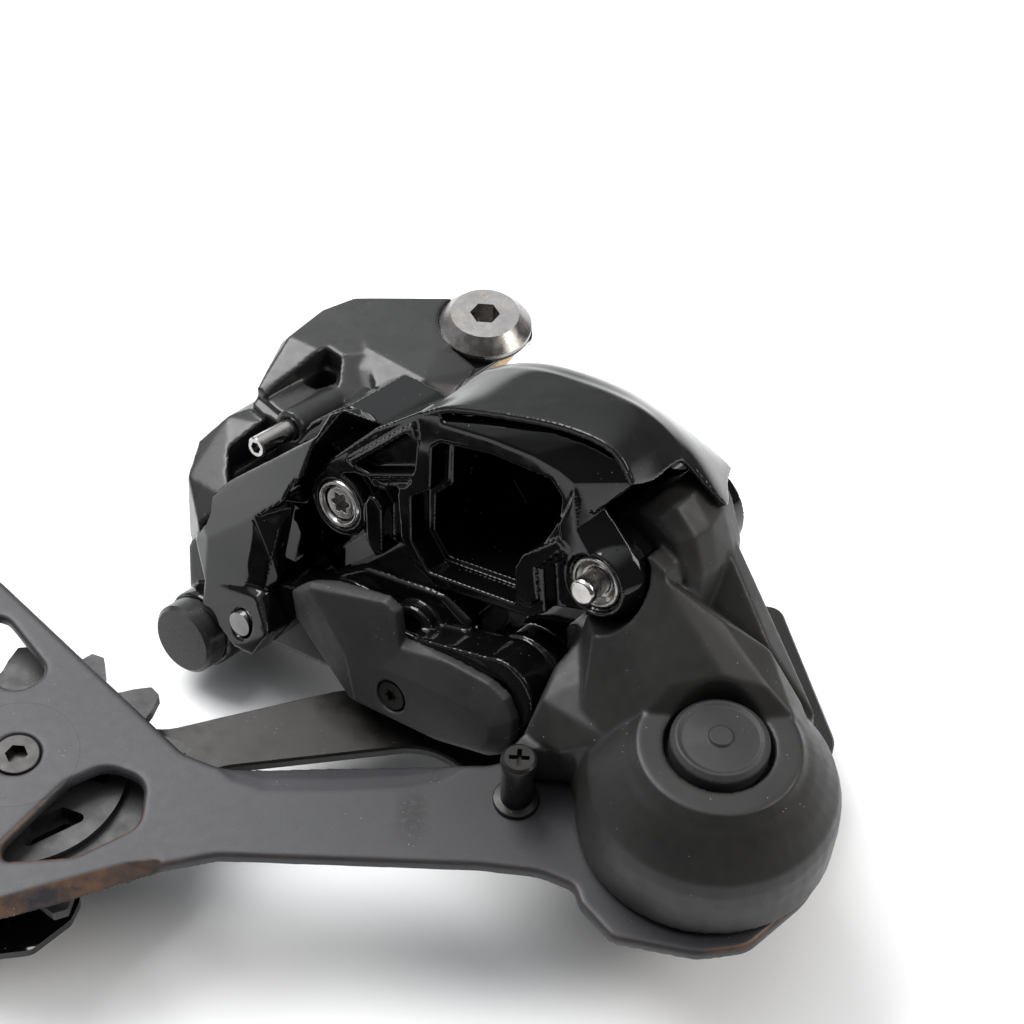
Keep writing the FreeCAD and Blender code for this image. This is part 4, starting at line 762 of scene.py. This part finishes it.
def housing_rooms():
    """Slotted recess above the tension screw and the opening for the drive."""
    recess = slab([(-39.0, -18.8), (-29.4, -9.8), (-26.4, -12.2), (-26.4, -16.6), (-29.6, -24.2),
                   (-34.0, -31.0), (-44.0, -26.0)], 2.0, 20.0, flat)
    slot = slab([(-33.6, -14.6), (-30.2, -11.0), (-27.2, -12.0), (-27.4, -14.2), (-30.8, -16.2)],
                -8.0, 20.0, flat)
    opening = slab([(-45.8, -29.0), (-39.5, -22.6), (-32.6, -28.0), (-32.0, -35.0), (-39.0, -41.5),
                    (-45.0, -37.0)], -9.0, 20.0, flat)
    return [("cut", room) for room in (recess, slot, opening)]


def bracket_housing():
    """Satin housing with its slanting facets."""
    top = hull([(-6.0, 7.4, 0.0), (-6.0, 7.4, 5.0), (-6.0, 5.6, 7.0), (-26.0, 5.4, 0.0), (-26.0, 5.4, 4.6),
                (-25.4, 4.0, 7.0), (-32.4, 1.4, 0.0), (-32.4, 1.4, 4.6), (-31.0, 0.2, 7.0),
                (-38.4, -7.0, 0.0), (-38.4, -7.0, 4.6), (-36.8, -7.8, 7.0), (-41.6, -18.4, 0.0),
                (-41.6, -18.4, 3.6), (-32.4, -26.8, 0.0), (-32.4, -26.8, 1.6), (-28.6, -12.0, 7.0),
                (-21.4, -9.9, 7.0), (-6.0, -8.0, 7.0), (-6.0, -8.0, 0.0)], flat)
    screw_boss = disc(SCREW_BOSS, [(-24.0, 3.5), (-11.0, 3.5)])
    head_room = disc(HANGER_BOLT, [(-1.0, 9.3), (4.7, 9.3), (4.71, 8.95), (20.0, 8.95)], flat)
    ends = [("add", screw_boss), bore(SCREW_BOSS, 2.1, -17.0, 10.0), ("cut", head_room)]
    steps = housing_masses() + housing_rooms() + ends
    carve("bracket_housing", "bracket_body", top, steps, voxel=0.4, passes=6)


# ---------------------------------------------------------------- covers and outer plate

COVER_BACK = 5.6            # the inner cover's face on the arm
COVER_SCREW = (16.4, -29.7)


def motor_cover():
    """The drive's cover in the CAD node's own shape, with rounded edges."""
    carve("motor_cover_cast", "motor_cover", copy_of("motor_cover"), [], voxel=0.5, passes=14)


def inner_cover():
    """Textured cover of the inner link: front facet with the screw, sloping top band and left facet."""
    left_top = [(-0.6, -12.9, 9.0), (-1.4, -12.2, 8.0), (-6.4, -15.9, 7.4), (-6.0, -21.4, 7.4),
                (15.6, -11.6, 7.6), (17.8, -13.0, 7.6), (18.4, -19.6, 8.0), (6.6, -24.0, 9.0),
                (14.0, -24.6, 9.0), (5.4, -34.6, 7.6), (14.0, -34.6, 8.4)]
    left_foot = [(4.4, -11.4), (15.8, -10.9), (18.4, -12.6), (18.6, -20.0), (-5.8, -15.4), (-6.0, -21.6),
                 (5.4, -34.8), (14.0, -35.4), (-1.0, -12.8)]
    right_top = [(6.6, -24.0, 9.0), (22.3, -24.9, 9.0), (35.0, -26.2, 9.0), (18.4, -19.8, 7.8),
                 (29.0, -19.4, 7.4), (37.2, -20.9, 7.4), (40.6, -23.0, 7.4), (42.2, -26.6, 7.4),
                 (41.6, -31.2, 7.4), (39.4, -34.4, 7.4), (36.4, -35.8, 7.4), (25.0, -36.7, 7.4),
                 (6.4, -34.8, 7.4), (38.0, -28.6, 9.0), (37.6, -31.6, 9.0), (35.6, -34.0, 9.0),
                 (24.6, -34.8, 9.0), (8.0, -33.4, 9.0)]
    right_foot = [(18.4, -18.4), (29.0, -19.2), (37.2, -20.6), (40.8, -22.5), (42.6, -26.8), (42.0, -31.0),
                  (39.4, -34.8), (36.4, -35.8), (25.0, -36.8), (6.4, -34.8)]
    left, right = (hull(top + [(u, v, COVER_BACK) for u, v in foot])
                   for top, foot in ((left_top, left_foot), (right_top, right_foot)))
    screw_seat = bore(COVER_SCREW, 3.25, 7.35, 20.0)
    carve("inner_cover_moulded", "inner_cover", left, [("add", right), screw_seat], voxel=0.3, passes=4)


PLATE_FACE = -10.0
PLATE_CLEAR = -8.0      # above the plate's face
CUT_LIFT = 0.1          # from the face up to the start of a cut


def outer_plate():
    """Outboard plate with a rolled-down upper edge and a wide lower bevel."""
    start = PLATE_FACE + CUT_LIFT
    rolled = [(-44.0, -91.0, -91.5), (-40.0, -94.6, -92.0), (-36.0, -98.0, -92.4), (-31.0, -99.6, -92.4),
              (-20.0, -98.8, -91.8), (-8.0, -97.2, -90.2), (-1.5, -95.4, -88.8), (3.0, -92.0, -87.6),
              (7.0, -89.0, -86.8)]
    scoop = loft([(x, [(crease, start), (crease, PLATE_CLEAR), (edge + 3.0, PLATE_CLEAR), (edge + 3.0, -12.6),
                       (edge + 1.0, -12.0), ((crease + edge) / 2, -10.5)])
                  for x, crease, edge in rolled], crossways)
    bevelled = [(-86.0, -124.9, -126.6), (-80.0, -124.2, -126.4), (-70.5, -122.0, -124.6),
                (-61.6, -118.2, -121.0), (-51.7, -114.2, -116.8), (-46.0, -113.2, -114.4)]
    bevel = loft([(x, [(crease, start), (crease, PLATE_CLEAR), (edge - 3.0, PLATE_CLEAR), (edge - 3.0, -13.6),
                       (edge, -11.9)])
                  for x, crease, edge in bevelled], crossways)
    base = copy_of("outer_plate")
    even_out(base, 0.32)
    applied(base)
    carve("outer_plate_pressed", "outer_plate", base, [("cut", scoop), ("cut", bevel)], voxel=0.36, passes=3)


# ---------------------------------------------------------------- inner link and pins

def inner_arm():
    """Arm between the inner pins, with the deep web that closes the space below the pocket."""
    near, level = INNER_FRONT_PIN
    far = INNER_FAR_PIN[0]
    base = disc(INNER_FRONT_PIN, [(-9.4, 7.0), (5.6, 7.0)])
    far_end = disc(INNER_FAR_PIN, [(-2.4, 7.0), (5.6, 7.0)])
    bar = slab([(near, level + 6.6), (2.0, -15.6), (20.0, -18.2), (far, level + 6.8), (far, level - 6.8),
                (24.0, -32.4), (4.0, -31.6), (near, level - 6.6)], -2.4, 5.6)
    deep = loft([(-19.0, [(-1.0, -16.0), (5.0, -12.6), (22.0, -12.6), (26.5, -16.0), (26.5, -25.0),
                          (20.0, -30.0), (5.0, -30.0), (-1.0, -24.0)]),
                 (-1.6, [(-3.0, -14.6), (4.0, -11.6), (22.0, -12.0), (27.5, -16.0), (27.5, -26.0),
                         (20.0, -31.0), (4.0, -31.0), (-3.0, -24.0)]),
                 (-0.6, [(-2.4, -15.4), (4.4, -12.4), (21.6, -12.8), (26.6, -16.8), (26.6, -25.0),
                         (20.0, -30.0), (5.0, -30.0), (-2.4, -23.0)])])
    hood = disc(INNER_FAR_PIN, [(-6.6, 7.8), (-2.0, 7.8)])
    boss_centre = (16.6, -19.4)
    boss = disc(boss_centre, [(-3.0, 4.6), (1.6, 4.6), (2.2, 4.0)])
    spring_room = bore(INNER_FAR_PIN, 6.4, -10.0, -2.4)
    dish = bore(boss_centre, 2.6, 1.4, 4.0)
    bores = [bore(INNER_FRONT_PIN, 2.45, -40.0, 20.0), bore(INNER_FAR_PIN, 2.7, -40.0, 20.0)]
    steps = [("add", far_end), ("add", bar), ("add", deep), ("add", hood), spring_room, ("add", boss),
             dish] + bores
    carve("inner_arm", "inner_link", base, steps, voxel=0.38, passes=5)


PIN_RADIUS = 2.35
LOBES = 6
LOBE_CORNERS = 8


def lobes(inner, outer):
    """Outline of a six-lobed drive socket."""
    corners = []
    for i in range(LOBE_CORNERS * LOBES):
        turn = 2 * math.pi * i / (LOBE_CORNERS * LOBES)
        reach = (inner + outer) / 2 + (outer - inner) / 2 * math.cos(LOBES * turn)
        corners.append((reach * math.cos(turn), reach * math.sin(turn)))
    return corners


def front_pin():
    """Front outer pin with a lobed socket in its head, in a polished ring."""
    pin = disc(FRONT_PIN, [(REAR_BACK, PIN_RADIUS), (-2.8, PIN_RADIUS), (-2.79, 3.3), (-0.9, 3.3),
                           (-0.6, 3.0)])
    socket = slab(lobes(1.4, 2.1), -3.4, 3.0)
    carve("front_pin_turned", "front_pin", pin, [("cut", socket)], voxel=0.11, passes=2)
    outer = disc(FRONT_PIN, [(-3.0, 4.7), (-0.3, 4.7), (0.1, 4.35)])
    inner = disc(FRONT_PIN, [(-3.4, 3.5), (-0.5, 3.5), (0.3, 3.9)])
    carve("front_ring_turned", "front_pin_ring", outer, [("cut", inner)], voxel=0.12, passes=3)


def far_pin():
    """Far outer pin, standing proud of its dished bush."""
    pin = disc(FAR_PIN, [(REAR_BACK, PIN_RADIUS), (3.0, PIN_RADIUS), (3.5, 1.95)])
    carve("far_pin_turned", "far_pin", pin, [], voxel=0.15, passes=3)
    bush = disc(FAR_PIN, [(-3.0, 4.7), (-0.9, 4.7), (-0.5, 4.4)])
    dish = disc(FAR_PIN, [(-1.6, 2.9), (-0.8, 3.9), (3.0, 3.9)])
    carve("far_bush_turned", "far_pin_bush", bush, [("cut", dish), bore(FAR_PIN, 2.4, -4.0, 3.0)],
          voxel=0.12, passes=3)


# ---------------------------------------------------------------- stage

CAMERA_PLACE = Vector((0.00761, -0.29565, 0.29197))
CAMERA_TILT = math.radians(40.97)
CAMERA_ROLL = math.radians(3.69)
FLOOR_GAP = 0.0001
FLOOR_REACH = 3.0
BRIGHTEST = (-0.25, 0.45, 0.86)     # the way to the brightest part of the surroundings


def camera():
    """The photograph's view."""
    data = bpy.data.cameras.new("camera")
    data.lens = 74.8
    data.sensor_width = 36
    data.clip_start = 0.01
    cam = bpy.data.objects.new("camera", data)
    bpy.context.collection.objects.link(cam)
    turn = Matrix.Rotation(CAMERA_TILT, 4, "X") @ Matrix.Rotation(CAMERA_ROLL, 4, "Z")
    cam.matrix_world = Matrix.Translation(CAMERA_PLACE) @ turn
    bpy.context.scene.camera = cam


def floor():
    """Flat pale table just under the lowest point."""
    mesh = bpy.data.meshes.new("floor")
    shape = bmesh.new()
    bmesh.ops.create_grid(shape, x_segments=8, y_segments=8, size=FLOOR_REACH)
    shape.to_mesh(mesh)
    plane = bpy.data.objects.new("floor", mesh)
    plane.location = (0, 0, cad_bounds[0][2] - FLOOR_GAP)
    bpy.context.collection.objects.link(plane)
    nodes = Nodes("table")
    cloud = nodes.span(nodes.noise(6.0, 3.0), 0.3, 0.7)
    base = nodes.mix(cloud, (0.86, 0.865, 0.87, 1), (0.90, 0.90, 0.90, 1))
    nodes.set(Base_Color=base, Roughness=0.6)
    nodes.bump(nodes.noise(900.0, 2.0), 0.03, 0.0001)
    mesh.materials.append(nodes.material)


def area_light(name, place, aim, across, power, colour=(1, 1, 1)):
    """Soft rectangular lamp that faces a point."""
    data = bpy.data.lights.new(name, "AREA")
    data.shape = "RECTANGLE"
    data.size = across[0]
    data.size_y = across[1]
    data.energy = power
    data.color = colour
    lamp = bpy.data.objects.new(name, data)
    lamp.location = place
    lamp.rotation_euler = (Vector(aim) - Vector(place)).to_track_quat("-Z", "Y").to_euler()
    bpy.context.collection.objects.link(lamp)


def light():
    """Soft white surroundings, brightest above and beyond the part, with a key and a warm fill lamp."""
    world = bpy.data.worlds.new("world")
    bpy.context.scene.world = world
    world.use_nodes = True
    tree = world.node_tree
    back = tree.nodes["Background"]
    back.inputs["Color"].default_value = (0.95, 0.975, 1.0, 1.0)
    direction = tree.nodes.new("ShaderNodeTexCoord")
    facing = tree.nodes.new("ShaderNodeVectorMath")
    facing.operation = "DOT_PRODUCT"
    facing.inputs[1].default_value = BRIGHTEST
    ramp = tree.nodes.new("ShaderNodeMapRange")
    ramp.interpolation_type = "SMOOTHSTEP"
    tree.links.new(direction.outputs["Generated"], facing.inputs[0])
    tree.links.new(facing.outputs["Value"], ramp.inputs["Value"])
    for name, number in (("From Min", 0.35), ("From Max", 1.0), ("To Min", 0.12), ("To Max", 1.3)):
        ramp.inputs[name].default_value = number
    tree.links.new(ramp.outputs["Result"], back.inputs["Strength"])
    area_light("key", (-0.45, 0.25, 0.8), (0, -0.05, 0), (0.7, 0.5), 12.0)
    area_light("fill", (0.6, -0.1, 0.5), (0, -0.06, 0), (0.4, 0.4), 3.5, (1.0, 0.96, 0.92))
    bpy.context.scene.view_settings.view_transform = "Standard"


FINISHES = make_finishes()
motor_cover()
inner_cover()
outer_plate()
shell()
link_body()
knuckle()
bracket_arm()
bracket_housing()
inner_arm()
front_pin()
far_pin()
# The nodes that no modelled piece replaces stay.
for plain_node in NODES:
    if not NODES[plain_node].hide_render:
        carry_over(plain_node)
camera()
floor()
light()
